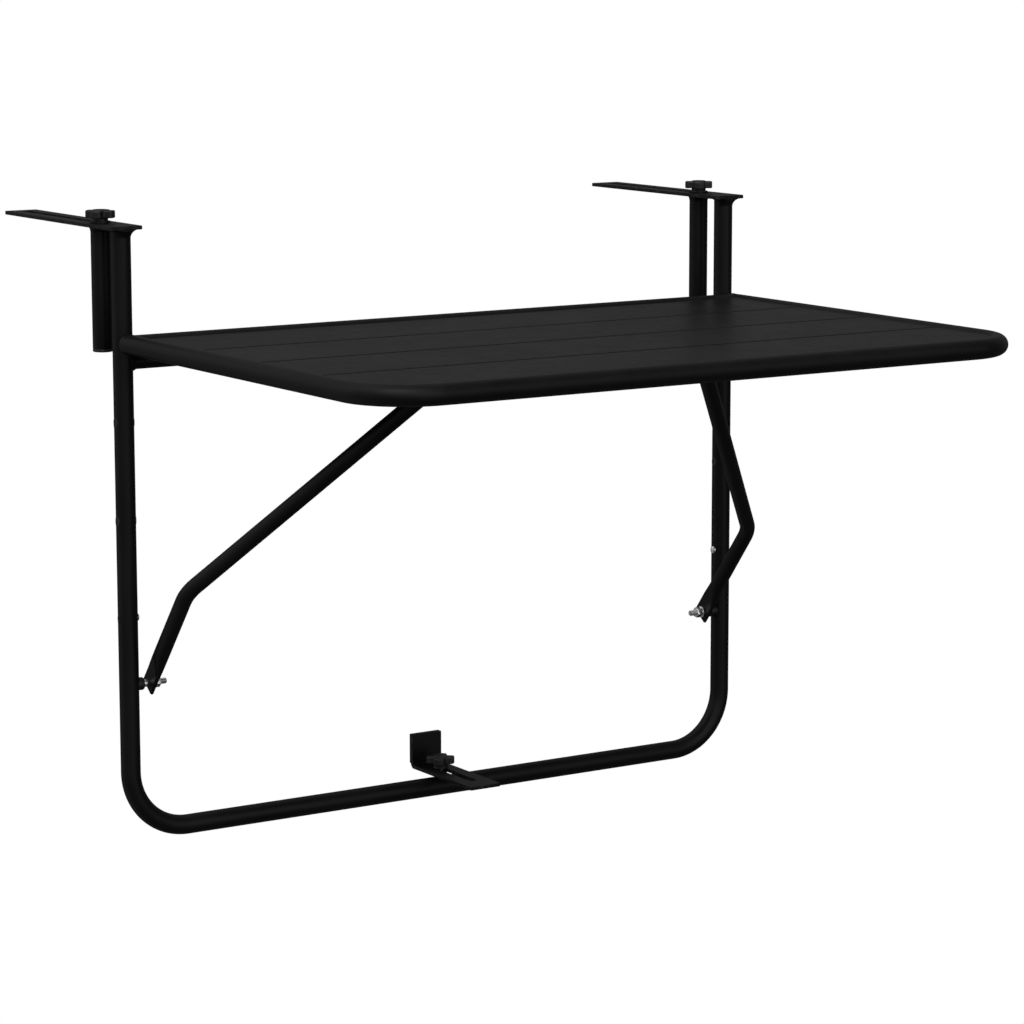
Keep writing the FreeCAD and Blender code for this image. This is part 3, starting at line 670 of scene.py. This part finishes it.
def hex_nut(shape, origin, axis, flats, thick, bore, turn=12.0, n_side=12):
    """Hexagon nut with chamfered corners; origin at the middle of its lower face."""
    n = 6 * n_side
    a = np.arange(n) / n * TAU
    local = (a % (TAU / 6)) - TAU / 12
    rad = (flats / 2) / np.cos(local)
    r0 = flats / 2 * 0.965
    cham = np.clip((rad - r0) * math.tan(math.radians(30)), 0, None)
    u = np.array([0.0, 1.0, 0.0])
    w = np.array([0.0, 0.0, 1.0])
    ax = unit(axis)
    o = np.asarray(origin, float)
    ca, sa = np.cos(a + math.radians(turn)), np.sin(a + math.radians(turn))

    def ring(r, h):
        r = np.broadcast_to(r, (n,))
        h = np.broadcast_to(h, (n,))
        return o + ax * h[:, None] + r[:, None] * (ca[:, None] * u + sa[:, None] * w)

    rows = [ring(bore, 0.5), ring(bore + 0.45, 0.05), ring(bore + 0.5, 0.0), ring(r0 - 0.08, 0.0), ring(np.minimum(rad, r0 + 0.04), 0.03),
            ring(rad - 0.03, cham + 0.02), ring(rad, cham + 0.12), ring(rad, thick - cham - 0.12), ring(rad - 0.03, thick - cham - 0.02),
            ring(np.minimum(rad, r0 + 0.04), thick - 0.03), ring(r0 - 0.08, thick), ring(bore + 0.5, thick), ring(bore + 0.45, thick - 0.05), ring(bore, thick - 0.5)]
    shape.loft(rows)


s_stud, s_head, s_spacer, s_washer, s_nut = Shape(), Shape(), Shape(), Shape(), Shape()
for sx in (-1.0, 1.0):
    at = (0, LEG_Y, PIVOT_Z)
    inward = (-sx, 0, 0)
    o = (sx * LEG_X, LEG_Y, PIVOT_Z)        # heights below run from the leg's axis towards the middle
    lathe(s_head, o, inward, [(0, -7.85), (2.1, -7.85), (2.4, -7.75), (2.5, -7.5), (2.5, -6.0)], 36)
    lathe(s_stud, o, inward, [(2.5, 7.0), (2.5, 12.0)], 36)
    lathe(s_stud, o, inward, [(2.4, 11.8), (3.0, 12.05), (3.1, 12.2), (3.1, 16.85), (3.0, 17.0), (2.4, 17.05)], 36)
    lathe(s_stud, o, inward, [(2.5, 16.0), (2.5, 21.9)], 36)
    thread(s_stud, o, inward, 2.5, 0.8, 20.8, 32.8, chamfer1=0.55, per=10)
    # collar of black plastic, shaped to the leg where it starts
    n = 56
    a = np.arange(n) / n * TAU
    rows = []
    for r, h, follow in ((2.6, 12.1, 0), (4.3, 12.1, 0), (4.7, 12.02, 0), (5.0, 11.75, 0), (5.2, 11.35, 0), (5.2, 9.6, 0), (5.2, 8.3, 0), (5.15, 0, 1), (2.6, 0, 1)):
        yy, zz = r * np.cos(a), r * np.sin(a)
        hh = np.sqrt(TUBE_R ** 2 - yy ** 2) - 0.05 if follow else np.full(n, h)
        rows.append(np.stack([sx * (LEG_X - hh), LEG_Y + yy, PIVOT_Z + zz], 1))
    s_spacer.loft(rows, edge=[0, .5, 1, 1, .5, 0, 0, 0, 0])
    lathe(s_washer, o, inward, [(2.6, 20.15), (4.85, 20.15), (5.0, 20.27), (5.0, 20.98), (4.85, 21.1), (2.6, 21.1)], 48, loop=True)
    # spring washer, split at one place
    rows = []
    for w in np.linspace(math.radians(8), math.radians(352), 61):
        lift = 0.12 * (w / math.pi - 1)
        ring = [(2.7, 21.15), (4.3, 21.15), (4.42, 21.25), (4.42, 21.8), (4.3, 21.9), (2.7, 21.9)]
        rows.append([(sx * (LEG_X - h - lift), LEG_Y + r * math.cos(w + 0.9), PIVOT_Z + r * math.sin(w + 0.9)) for r, h in ring])
    s_washer.loft(rows, cap0=True, cap1=True)
    hex_nut(s_nut, (sx * (LEG_X - 22.0), LEG_Y, PIVOT_Z), inward, 8.0, 4.7, 2.25)
stand_in(s_stud, "pivot_studs", 40)
stand_in(s_head, "pivot_studs", 40, name="pivot_studs_coated", slot="powder_coat")
stand_in(s_spacer, "pivot_spacers", 40)
stand_in(s_washer, "pivot_washers", 40)
stand_in(s_nut, "pivot_nuts", 35)


def knob(shape, cx, cy, z0, turn):
    """Four-lobed hand knob: a stem, a lobed grip and a low boss on top."""
    stem, lobe, boss = 2.4, 6.0, 0.6
    pts, rad = [], []
    for k in range(4):
        t = math.radians(90 * k)
        rot = np.array([[math.cos(t), -math.sin(t)], [math.sin(t), math.cos(t)]])
        end = [(4.55, -4.4), (11.05, -4.4)] + [(11.9 * math.cos(math.radians(q)), 11.9 * math.sin(math.radians(q))) for q in (-12, -4, 4, 12)] + [(11.05, 4.4)]
        for q, r in zip(end, (1.7, 1.9, 0.0, 0.0, 0.0, 0.0, 1.9)):
            pts.append(rot @ np.array(q))
            rad.append(r)
    loop = rounded(pts, rad, 7, closed=True)
    th = math.radians(turn)

    def place(px, py, h):
        return np.stack([cx + px * math.cos(th) - py * math.sin(th), cy + px * math.sin(th) + py * math.cos(th), z0 + h], 1)

    slab(shape, loop, [], stem, stem + lobe, 1.0, place, steps=6, bevel_low=0.8)
    prof = [(0.0, 0.0), (5.7, 0.0), (6.0, 0.08), (6.2, 0.3), (6.2, stem - 0.5), (6.35, stem - 0.15), (6.6, stem + 0.05)]
    lathe(shape, (cx, cy, z0), (0, 0, 1), prof, 64)
    top = stem + lobe
    prof = [(6.75, top - 0.1), (6.45, top + 0.0), (6.25, top + 0.05), (6.17, top + 0.08)]
    prof += arc2(5.65, top + boss - 0.5, 0.5, 0, 90, 5)
    prof += [(4.2, top + boss), (3.9, top + boss - 0.05), (3.6, top + boss - 0.25), (3.3, top + boss - 0.3), (0.0, top + boss - 0.3)]
    lathe(shape, (cx, cy, z0), (0, 0, 1), prof, 64, edge=[0, 0, 0, 0] + [1] * 6 + [0, 0, 0, 0, 0])


for side, sx in SIDES:
    x, y = sx * LEG_X, POST_Y[side]
    s = Shape()
    tube = [(TUBE_R - 1.2, -0.5), (TUBE_R + 0.75, -0.5), (TUBE_R + 0.95, -0.6), (TUBE_R + 1.0, -0.8)]
    tube += [(TUBE_R + 0.92 * (1 - t) ** 2, -0.9 - 4.2 * t) for t in np.linspace(0, 1, 12)]
    tube += [(TUBE_R, -50.0), (TUBE_R, -97.15), (TUBE_R - 0.08, -97.4), (TUBE_R - 0.3, -97.6), (TUBE_R - 1.2, -97.6)]
    # the edge mark on the post's lower rim paints part of a highlight line where post meets cap, besides worn paint
    lathe(s, (x, y, 0), (0, 0, 1), tube, 72, edge=[0, 1, 1, 1] + [0] * 14 + [1, 1, 1], loop=True)
    stand_in(s, "clamp_post_" + side, 40)
    s = Shape()
    lathe(s, (x, y, 0), (0, 0, 1), [(4.1, -0.5), (4.5, -0.5), (6.8, -0.5), (6.8, -16.5), (4.1, -16.5)], 48, loop=True)
    stand_in(s, "clamp_post_insert_" + side, 40)
    s = Shape()
    cap = [(6.7, -90.0), (6.7, -97.55), (7.65, -97.62), (7.9, -97.75), (8.0, -98.0), (8.0, -99.0)]
    cap += arc2(7.1, -99.1, 0.9, 0, -90, 6)
    cap += [(4.0, -100.0), (0.0, -99.9)]
    # the edge mark on the cap's flange rim is partly a painted highlight line where post meets cap, partly worn plastic
    lathe(s, (x, y, 0), (0, 0, 1), [(0.0, -90.0)] + cap, 72, edge=[0, 0, 0, 1, 1, 1, 1] + [0] * 9)
    stand_in(s, "clamp_post_cap_" + side, 45)
    s = Shape()
    wash = [(4.1, 3.1), (7.7, 3.1), (7.92, 3.2), (8.0, 3.4), (8.0, 4.0), (7.92, 4.2), (7.7, 4.3), (4.1, 4.3)]
    lathe(s, (x, y, 0), (0, 0, 1), wash, 64, edge=[0, .3, 1, .5, .5, 1, .3, 0], loop=True)
    stand_in(s, "clamp_washer_" + side, 45)
    s = Shape()
    thread(s, (x, y, 0), (0, 0, 1), 4.0, 1.25, -26.0, 4.4, chamfer0=0.7, n=48, per=10)
    lathe(s, (x, y, 0), (0, 0, 1), [(3.9, 4.2), (3.9, 9.2)], 40)
    stand_in(s, "clamp_bolt_" + side, 40)
    s = Shape()
    knob(s, x, y, 4.3, {"left": 42.0, "right": 57.7}[side])
    stand_in(s, "clamp_knob_" + side, 38, weighted=True)

# ---------------------------------------------------------------- tabletop
s = Shape()
path = rounded([(-LEG_X, SIDE_END_Y, TABLE_Z), (-LEG_X, FRONT_Y, TABLE_Z), (LEG_X, FRONT_Y, TABLE_Z), (LEG_X, SIDE_END_Y, TABLE_Z)], [CORNER_R] * 2, 32)
path = densify(path, 12.0)
outer = sweep_rings(path, (0, 0, 1), TUBE_R, 80)
inner = sweep_rings(path, (0, 0, 1), TUBE_R - 1.2, 80)
s.loft(np.concatenate([outer, inner[::-1]]), loop=True)
stand_in(s, "table_rim_tube", 50)

s = Shape()
coped_bar(s, REAR_Y, TABLE_Z, TUBE_R, TUBE_R - 1.2, TUBE_R, 1, 2.2, 0.75)
stand_in(s, "table_rear_tube", 60)

s = Shape()
for sx in (-1.0, 1.0):
    prof = [(0.0, -9.0), (6.7, -9.0), (6.7, -0.02), (7.6, 0.0), (7.9, 0.06), (8.0, 0.2), (8.0, 0.7)] + arc2(7.3, 0.7, 0.7, 0, 90, 6)[1:] + [(3.0, 1.4), (0.0, 1.38)]
    lathe(s, (sx * LEG_X, SIDE_END_Y, TABLE_Z), (0, 1, 0), prof, 64)
stand_in(s, "table_tube_plugs", 45)

# slats: pressed channels, ends shaped to the rim tube
inner_rear, inner_front = REAR_Y - TUBE_R, FRONT_Y + TUBE_R
pitch = (inner_rear - inner_front) / 4
TOP_Z, EDGE_D, SHEET, BEND, HALF_GAP = TABLE_Z + 5.6, 8.0, 0.8, 1.7, 0.9


def rim_inner_x(y, z):
    """x of the rim tube's inner side at this height and depth."""
    dz = np.clip(z - TABLE_Z, -TUBE_R, TUBE_R)
    reach = np.sqrt(TUBE_R ** 2 - dz ** 2)
    straight = LEG_X - reach
    cy = FRONT_Y + CORNER_R
    d = CORNER_R - reach
    dy = y - cy
    corner = (LEG_X - CORNER_R) + np.sqrt(np.maximum(d * d - dy * dy, 0))
    return np.where(dy < 0, corner, straight)


for i in range(4):
    y1 = inner_rear - pitch * i - HALF_GAP
    y0 = inner_rear - pitch * (i + 1) + HALF_GAP
    zt, zb = TOP_Z, TOP_Z - EDGE_D
    out = [(y0, zb)] + [(y0, zb + 2.5)] + arc2(y0 + BEND, zt - BEND, BEND, 180, 90, 10)
    flat = np.linspace(y0 + BEND, y1 - BEND, 25)[1:-1]
    out += [(v, zt) for v in flat]
    out += arc2(y1 - BEND, zt - BEND, BEND, 90, 0, 10) + [(y1, zb + 2.5), (y1, zb)]
    b = BEND - SHEET
    inn = [(y0 + SHEET, zb)] + [(y0 + SHEET, zb + 2.5)] + arc2(y0 + BEND, zt - BEND, b, 180, 90, 10)
    inn += [(v, zt - SHEET) for v in flat]
    inn += arc2(y1 - BEND, zt - BEND, b, 90, 0, 10) + [(y1 - SHEET, zb + 2.5), (y1 - SHEET, zb)]
    out, inn = np.array(out), np.array(inn)
    # rows at and next to each end carry the edge mark
    ring = np.concatenate([out, inn[::-1]])
    n_out = len(out)
    xe = rim_inner_x(ring[:, 0], ring[:, 1]) - 0.02
    cols = np.concatenate([[-1.0, -0.996, -0.985], np.linspace(-0.95, 0.95, 31), [0.985, 0.996, 1.0]])
    rows = []
    edge_rows = []
    for c in cols:
        z = ring[:, 1].copy()
        rows.append(np.stack([c * xe, ring[:, 0], z], 1))
        edge_rows.append(1.0 if abs(c) > 0.99 else 0.0)
    s = Shape()
    off = s.loft(rows, edge=edge_rows)
    total = len(ring)
    for row in (0, len(cols) - 1):
        base = off + row * total
        for j in range(n_out - 1):
            s.f.append((base + j, base + j + 1, base + total - 2 - j, base + total - 1 - j))
    stand_in(s, "table_slat_%d" % (i + 1), 40)

# rails under the slats, with short weld beads at both ends
rail_z1, rail_z0 = TOP_Z - EDGE_D, TOP_Z - EDGE_D - 3.0
for side, sx in SIDES:
    s = Shape()
    cx = sx * 90.0
    sec = round_rect(cx - 15.0, rail_z0, cx + 15.0, rail_z1, 0.5, 4)
    dz = sec[:, 1] - TABLE_Z
    yr = REAR_Y - np.sqrt(TUBE_R ** 2 - dz ** 2)
    yf = FRONT_Y + np.sqrt(TUBE_R ** 2 - dz ** 2)
    rows = [np.stack([sec[:, 0], yf + (yr - yf) * t, sec[:, 1]], 1) for t in np.linspace(0, 1, 25)]
    s.loft(rows, cap0=True, cap1=True)
    for yy, sy, sd in ((REAR_Y - 5.9, -1.0, 0.3), (FRONT_Y + 5.9, 1.0, 2.1)):
        line = np.stack([np.linspace(cx - 12.5, cx + 12.5, 90), np.full(90, yy + sy * 0.1), np.full(90, rail_z0 + 0.05)], 1)
        bead(s, line, (0, sy * 0.55, -0.83), 1.5, 1.05, seed=sd)
    stand_in(s, "slat_rail_" + side, 45)

# hinge eyes: rolled round the hinge bar and welded to the rear tube
d = unit((REAR_Y - LEG_Y, TABLE_Z - HINGE_Z))
nrm = np.array([-d[1], d[0]])
dist = math.hypot(REAR_Y - LEG_Y, TABLE_Z - HINGE_Z)
for side, sx in SIDES:
    s = Shape()
    half_w, hub = 4.0, 9.5
    a0 = math.degrees(math.asin(half_w / hub))
    pts = arc2(0, 0, hub, a0, 360 - a0, 60)
    arc_w = math.degrees(math.asin(half_w / TUBE_R))
    pts += [(dist - TUBE_R * math.cos(math.radians(q)), TUBE_R * math.sin(math.radians(q))) for q in np.linspace(-arc_w, arc_w, 8)]
    loop = np.array([np.array([LEG_Y, HINGE_Z]) + p[0] * d + p[1] * nrm for p in pts])
    hole = np.array([(LEG_Y + 6.56 * math.cos(t), HINGE_Z + 6.56 * math.sin(t)) for t in np.linspace(0, TAU, 61)[:-1]])
    x0 = sx * 200.0 - 12.5
    slab(s, loop, [hole], x0, x0 + 25.0, 0.45, lambda py, pz, h: np.stack([h, py, pz], 1))
    for k in (-1, 1):
        foot = np.array([LEG_Y, HINGE_Z]) + d * (dist - math.sqrt(TUBE_R ** 2 - 16)) + nrm * k * 4.05
        away = unit(nrm * k * 0.75 - d * 0.66)
        line = np.stack([np.linspace(x0 + 1.0, x0 + 24.0, 90), np.full(90, foot[0]), np.full(90, foot[1])], 1)
        bead(s, line, (0, away[0], away[1]), 1.5, 1.1, seed=1.3 * k)
    stand_in(s, "hinge_eye_" + side, 40, weighted=True)

# saddles: where the support's cross run bears
BAR_Y, BAR_Z = -217.3, -104.2
for side, sx in SIDES:
    r, ramp = THIN_R + 0.35, math.radians(17.0)
    y_back, z_back = BAR_Y + r + 3.2, BAR_Z - 2.0
    y_ramp, z_ramp = BAR_Y - r * math.sin(ramp), BAR_Z + r * math.cos(ramp)
    y_end, z_end = y_ramp - 12.0, z_ramp - 12.0 * math.tan(ramp)
    pts = [(y_back, rail_z0), (y_back, z_back), (BAR_Y + r, z_back)]
    pts += [(BAR_Y + r * math.cos(t), BAR_Z + r * math.sin(t)) for t in np.linspace(0, math.pi / 2 + ramp, 16)]
    pts += [(y_end, z_end), (y_end - 2.5, z_end + 1.5), (y_end - 2.5, rail_z0)]
    s = Shape()
    x0 = sx * 90.0 - 11.0
    slab(s, dense_loop(pts, 2.0), [], x0, x0 + 22.0, 0.4, lambda py, pz, h: np.stack([h, py, pz], 1))
    for yy, sy in ((y_back, 1.0), (y_end - 2.5, -1.0)):
        line = np.stack([np.linspace(x0 + 1.5, x0 + 20.5, 80), np.full(80, yy + sy * 0.05), np.full(80, rail_z0 - 0.05)], 1)
        bead(s, line, (0, sy * 0.7, -0.7), 1.5, 1.0, seed=0.7 * sy)
    stand_in(s, "support_saddle_" + side, 40, weighted=True)

# ---------------------------------------------------------------- swinging support
ARM_X, BEND_S, BAR_HALF = 273.4, 106.9, 117.9
reach = math.hypot(BAR_Y - LEG_Y, BAR_Z - PIVOT_Z)
lean = math.atan2(-(BAR_Y - LEG_Y), BAR_Z - PIVOT_Z)
UP = np.array([0, -math.sin(lean), math.cos(lean)])
SIDE = np.array([0, math.cos(lean), math.sin(lean)])
PIVOT = np.array([0, LEG_Y, PIVOT_Z])


def in_plane(x, q):
    return PIVOT + UP * q + np.array([x, 0, 0])


s = Shape()
ROUND_FROM, FLAT_FROM, END_S, FLAT_T = 38.0, 7.0, -5.0, 1.5
path = rounded([in_plane(-ARM_X, ROUND_FROM), in_plane(-ARM_X, BEND_S), in_plane(-BAR_HALF, reach), in_plane(BAR_HALF, reach),
                in_plane(ARM_X, BEND_S), in_plane(ARM_X, ROUND_FROM)], [32.0] * 4, 24)
path = densify(path, 8.0)
N_SUP = 80


def section(x, q, f, shrink=0.0):
    """Section of an arm at q along it: f 0 is the round tube, f 1 the flattened end. The girth stays nearly the same."""
    ht = THIN_R + (FLAT_T - THIN_R) * f
    core = (1 - 0.06 * f * f) * math.pi / 2 * (THIN_R - ht)
    ht = max(ht - shrink, 0.2)
    quarter, girth = math.pi / 2 * ht, TAU * ht + 4 * core
    px, pn = np.zeros(N_SUP), np.zeros(N_SUP)
    for i in range(N_SUP):
        # distance along a quarter of the outline, from the middle of a flat side to the fold
        d = girth * i / N_SUP
        k, e = divmod(d, core + quarter)
        k = int(k) % 4
        if k % 2:
            e = core + quarter - e
        if e <= core:
            qx, qn = ht, e
        else:
            w = (e - core) / ht
            qx, qn = ht * math.cos(w), core + ht * math.sin(w)
        px[i] = qx * (1 if k in (0, 3) else -1)
        pn[i] = qn * (1 if k in (0, 1) else -1)
    return in_plane(x, q) + px[:, None] * np.array([1.0, 0, 0]) + pn[:, None] * SIDE


def arm_rows(x):
    rows = [section(x, END_S + d, 1.0, k) for d, k in ((0.0, 0.3), (0.04, 0.14), (0.14, 0.04), (0.3, 0.0))]
    for q in np.linspace(END_S + 1.5, FLAT_FROM - 1, 8):
        rows.append(section(x, q, 1.0))
    for q in np.linspace(FLAT_FROM, ROUND_FROM, 34):
        t = (q - FLAT_FROM) / (ROUND_FROM - FLAT_FROM)
        rows.append(section(x, q, 1 - t * t * (3 - 2 * t)))
    return rows


t = tangents(path)
nrm3 = -SIDE
side3 = np.cross(nrm3, t)
side3 /= np.linalg.norm(side3, axis=1)[:, None]
a = np.arange(N_SUP) / N_SUP * TAU
mid_rows = []
for p, sd in zip(path, side3):
    # at the left arm side3 is -X or +X; keep ring points in step with section()
    mid_rows.append((p, sd))
first = side3[0]
flip = 1.0 if first[0] > 0 else -1.0
rows_mid = [p + THIN_R * (np.cos(a)[:, None] * sd * flip + np.sin(a)[:, None] * SIDE) for p, sd in mid_rows]
left = arm_rows(-ARM_X)
right = arm_rows(ARM_X)
last_dir = side3[-1] * flip
if last_dir[0] < 0:
    idx = (N_SUP // 2 - np.arange(N_SUP)) % N_SUP
    right = [r[idx] for r in right]
s.loft(left[:-1] + rows_mid + right[:-1][::-1], cap0=True, cap1=True)
stand_in(s, "support_tube", 50)

# ---------------------------------------------------------------- lower stop
HALF_W, T = 14.5, 3.0
ARM_Z, FACE_Y, STOP_TOP, STOP_FRONT = -475.0, 14.0, -445.4, -80.3
IN_R = 1.5
arm_len = FACE_Y - IN_R - STOP_FRONT           # flat part of the arm
mid_r = IN_R + T / 2
arc_len = math.pi / 2 * mid_r
up_len = STOP_TOP - (ARM_Z + T + IN_R)
flat_len = arm_len + arc_len + up_len
outline = rounded([(-HALF_W, 0), (HALF_W, 0), (HALF_W, flat_len), (-HALF_W, flat_len)], [0.8] * 4, 6, closed=True)
slot = stadium(3.6, -62.0 - STOP_FRONT, 5.0 - STOP_FRONT)
s = Shape()
slab(s, outline, [slot], 0.0, T, 0.35, lambda px, py, h: np.stack([px, py, h], 1))
verts = np.concatenate(s.v)
bm = bmesh.new()
layer_e = bm.verts.layers.float.new("edge")
bv = []
for p, e in zip(verts, np.concatenate(s.edge)):
    q = bm.verts.new(p)
    q[layer_e] = e
    bv.append(q)
for f in s.f:
    try:
        bm.faces.new([bv[i] for i in f])
    except ValueError:
        pass
for k in range(13):
    u = arm_len + arc_len * k / 12
    bmesh.ops.bisect_plane(bm, geom=bm.verts[:] + bm.edges[:] + bm.faces[:], plane_co=(0, u, 0), plane_no=(0, 1, 0))
for u in np.linspace(2.0, arm_len - 1, 12):
    bmesh.ops.bisect_plane(bm, geom=bm.verts[:] + bm.edges[:] + bm.faces[:], plane_co=(0, float(u), 0), plane_no=(0, 1, 0))
for vtx in bm.verts:
    x, u, h = vtx.co
    if u <= arm_len:
        vtx.co = Vector((x, STOP_FRONT + u, ARM_Z + h))
    else:
        w = min(u - arm_len, arc_len)
        ang = w / mid_r
        rr = IN_R + (T - h)
        yy = FACE_Y - IN_R + rr * math.sin(ang)
        zz = ARM_Z + T + IN_R - rr * math.cos(ang)
        if u > arm_len + arc_len:
            zz += u - arm_len - arc_len
        vtx.co = Vector((x, yy, zz))
bm.verts.index_update()
bm.faces.ensure_lookup_table()
out_shape = Shape()
out_shape.add([list(v.co) for v in bm.verts], [tuple(v.index for v in f.verts) for f in bm.faces], [v[layer_e] for v in bm.verts])
bm.free()
stand_in(out_shape, "stop_bracket", 40, weighted=True)

s = Shape()
pad = round_rect(-HALF_W, ARM_Z + 4.0, HALF_W, STOP_TOP, 0.8)
slab(s, pad, [], FACE_Y + T, FACE_Y + T + 2.0, 0.6, lambda px, pz, h: np.stack([px, h, pz], 1), bevel_low=0.15)
stand_in(s, "stop_pad", 40, weighted=True)

s = Shape()
wash = [(3.1, ARM_Z + 3.1), (6.1, ARM_Z + 3.1), (6.3, ARM_Z + 3.2), (6.4, ARM_Z + 3.45), (6.4, ARM_Z + 4.75), (6.3, ARM_Z + 5.0), (6.1, ARM_Z + 5.1), (3.1, ARM_Z + 5.1)]
lathe(s, (0, LEG_Y, 0), (0, 0, 1), wash, 64, edge=[0, .3, 1, .5, .5, 1, .3, 0], loop=True)
stand_in(s, "stop_washer", 45)
s = Shape()
thread(s, (0, LEG_Y, 0), (0, 0, 1), 3.0, 1.0, BOTTOM_Z + 0.5, ARM_Z + 5.2, chamfer0=0.6, n=44, per=10)
lathe(s, (0, LEG_Y, 0), (0, 0, 1), [(2.9, ARM_Z + 5.0), (2.9, ARM_Z + 10.0)], 36)
stand_in(s, "stop_bolt", 40)
s = Shape()
knob(s, 0, LEG_Y, ARM_Z + 5.1, 52.0)
stand_in(s, "stop_knob", 38, weighted=True)

# CAD nodes that stay as they are get their finish here
for name, o in NODES.items():
    if not o.hide_render:
        o.data.materials.clear()
        o.data.materials.append(MATS[SLOT_OF[name]])

# ===========================================================================
# Camera
# ===========================================================================
CAM_AT = Vector((-1.5242, -2.5031, 0.2318))
YAW, PITCH, ROLL = 0.5693, 0.1638, -0.0014
FOCAL_PX = 3525.2
fw = Vector((math.sin(YAW) * math.cos(PITCH), math.cos(YAW) * math.cos(PITCH), -math.sin(PITCH)))
rt = Vector((math.cos(YAW), -math.sin(YAW), 0))
up = rt.cross(fw)
cr, sr = math.cos(ROLL), math.sin(ROLL)
rt, up = cr * rt + sr * up, -sr * rt + cr * up
cam_data = bpy.data.cameras.new("camera")
cam_data.sensor_width = 36
cam_data.lens = FOCAL_PX / 1024 * 36
cam_data.clip_end = 2000
cam = bpy.data.objects.new("camera", cam_data)
scene.collection.objects.link(cam)
m = Matrix((rt, up, -fw)).transposed().to_4x4()
m.translation = CAM_AT
cam.matrix_world = m
scene.camera = cam

# ===========================================================================
# Stage and light
# ===========================================================================
def pale(name, glow):
    mat = bpy.data.materials.new(name)
    mat.use_nodes = True
    nt = mat.node_tree
    nt.nodes.clear()
    out = nt.nodes.new("ShaderNodeOutputMaterial")
    emit = nt.nodes.new("ShaderNodeEmission")
    emit.inputs["Color"].default_value = (1.0, 1.0, 1.0, 1)
    emit.inputs["Strength"].default_value = glow
    nt.links.new(emit.outputs["Emission"], out.inputs["Surface"])
    return mat


def stage_piece(name, bm, at, material):
    me = bpy.data.meshes.new(name)
    bm.to_mesh(me)
    bm.free()
    me.polygons.foreach_set("use_smooth", [True] * len(me.polygons))
    o = bpy.data.objects.new(name, me)
    o.location = at
    scene.collection.objects.link(o)
    me.materials.append(material)
    # it gives the picture its pale ground and doesn't light or darken the table
    o.visible_diffuse = o.visible_glossy = o.visible_shadow = o.visible_transmission = False
    return o


FLOOR_Z, ROOM_R = -3.0, 40.0
bm = bmesh.new()
bmesh.ops.create_circle(bm, cap_ends=True, cap_tris=True, segments=96, radius=math.sqrt(ROOM_R ** 2 - FLOOR_Z ** 2) - 0.05)
stage_piece("floor", bm, (0, 0, FLOOR_Z), pale("pale_floor", 1.0))
bm = bmesh.new()
bmesh.ops.create_uvsphere(bm, u_segments=96, v_segments=48, radius=ROOM_R)
stage_piece("backdrop", bm, (0, 0, 0), pale("pale_backdrop", 1.0))

# soft light from all round: broad lobes as (azimuth, elevation, sharpness, strength);
# azimuth 0 is from the camera's side, 90 from its right
BASE_LIGHT = 0.01
LOBES = [
    (0, 12, 10, 0.50), (45, 12, 10, 1.35), (135, 12, 10, 0.12), (180, 12, 10, 0.10),
    (225, 12, 10, 0.10), (270, 12, 10, 0.50), (315, 12, 10, 0.30),
    (0, 50, 6, 2.00), (270, 50, 6, 0.85), (-20, 55, 30, 2.20),
    (0, -40, 5, 0.08), (90, -40, 5, 0.06), (270, -40, 5, 0.30), (180, -60, 6, 0.06), (180, 60, 8, 0.30),
]
world = bpy.data.worlds.new("studio")
scene.world = world
world.use_nodes = True
world.cycles.sampling_method = "MANUAL"
world.cycles.sample_map_resolution = 256
wn = world.node_tree
way = wn.nodes.new("ShaderNodeTexCoord").outputs["Generated"]
total = None
for az, el, power, strength in LOBES:
    b, e = math.radians(az), math.radians(el)
    toward = Vector((-math.sin(YAW), -math.cos(YAW), 0))
    right = Vector((math.cos(YAW), -math.sin(YAW), 0))
    d = (toward * math.cos(b) + right * math.sin(b)) * math.cos(e) + Vector((0, 0, 1)) * math.sin(e)
    dot = wn.nodes.new("ShaderNodeVectorMath")
    dot.operation = "DOT_PRODUCT"
    wn.links.new(way, dot.inputs[0])
    dot.inputs[1].default_value = d
    value = dot.outputs["Value"]
    for op, k in (("MAXIMUM", 0.0), ("POWER", float(power)), ("MULTIPLY", strength)):
        n = wn.nodes.new("ShaderNodeMath")
        n.operation = op
        wn.links.new(value, n.inputs[0])
        n.inputs[1].default_value = k
        value = n.outputs[0]
    if total is None:
        n = wn.nodes.new("ShaderNodeMath")
        n.operation = "ADD"
        n.inputs[1].default_value = BASE_LIGHT
        wn.links.new(value, n.inputs[0])
    else:
        n = wn.nodes.new("ShaderNodeMath")
        n.operation = "ADD"
        wn.links.new(total, n.inputs[0])
        wn.links.new(value, n.inputs[1])
    total = n.outputs[0]
back = wn.nodes["Background"]
back.inputs["Color"].default_value = (1, 1, 1, 1)
wn.links.new(total, back.inputs["Strength"])

scene.view_settings.view_transform = "Standard"
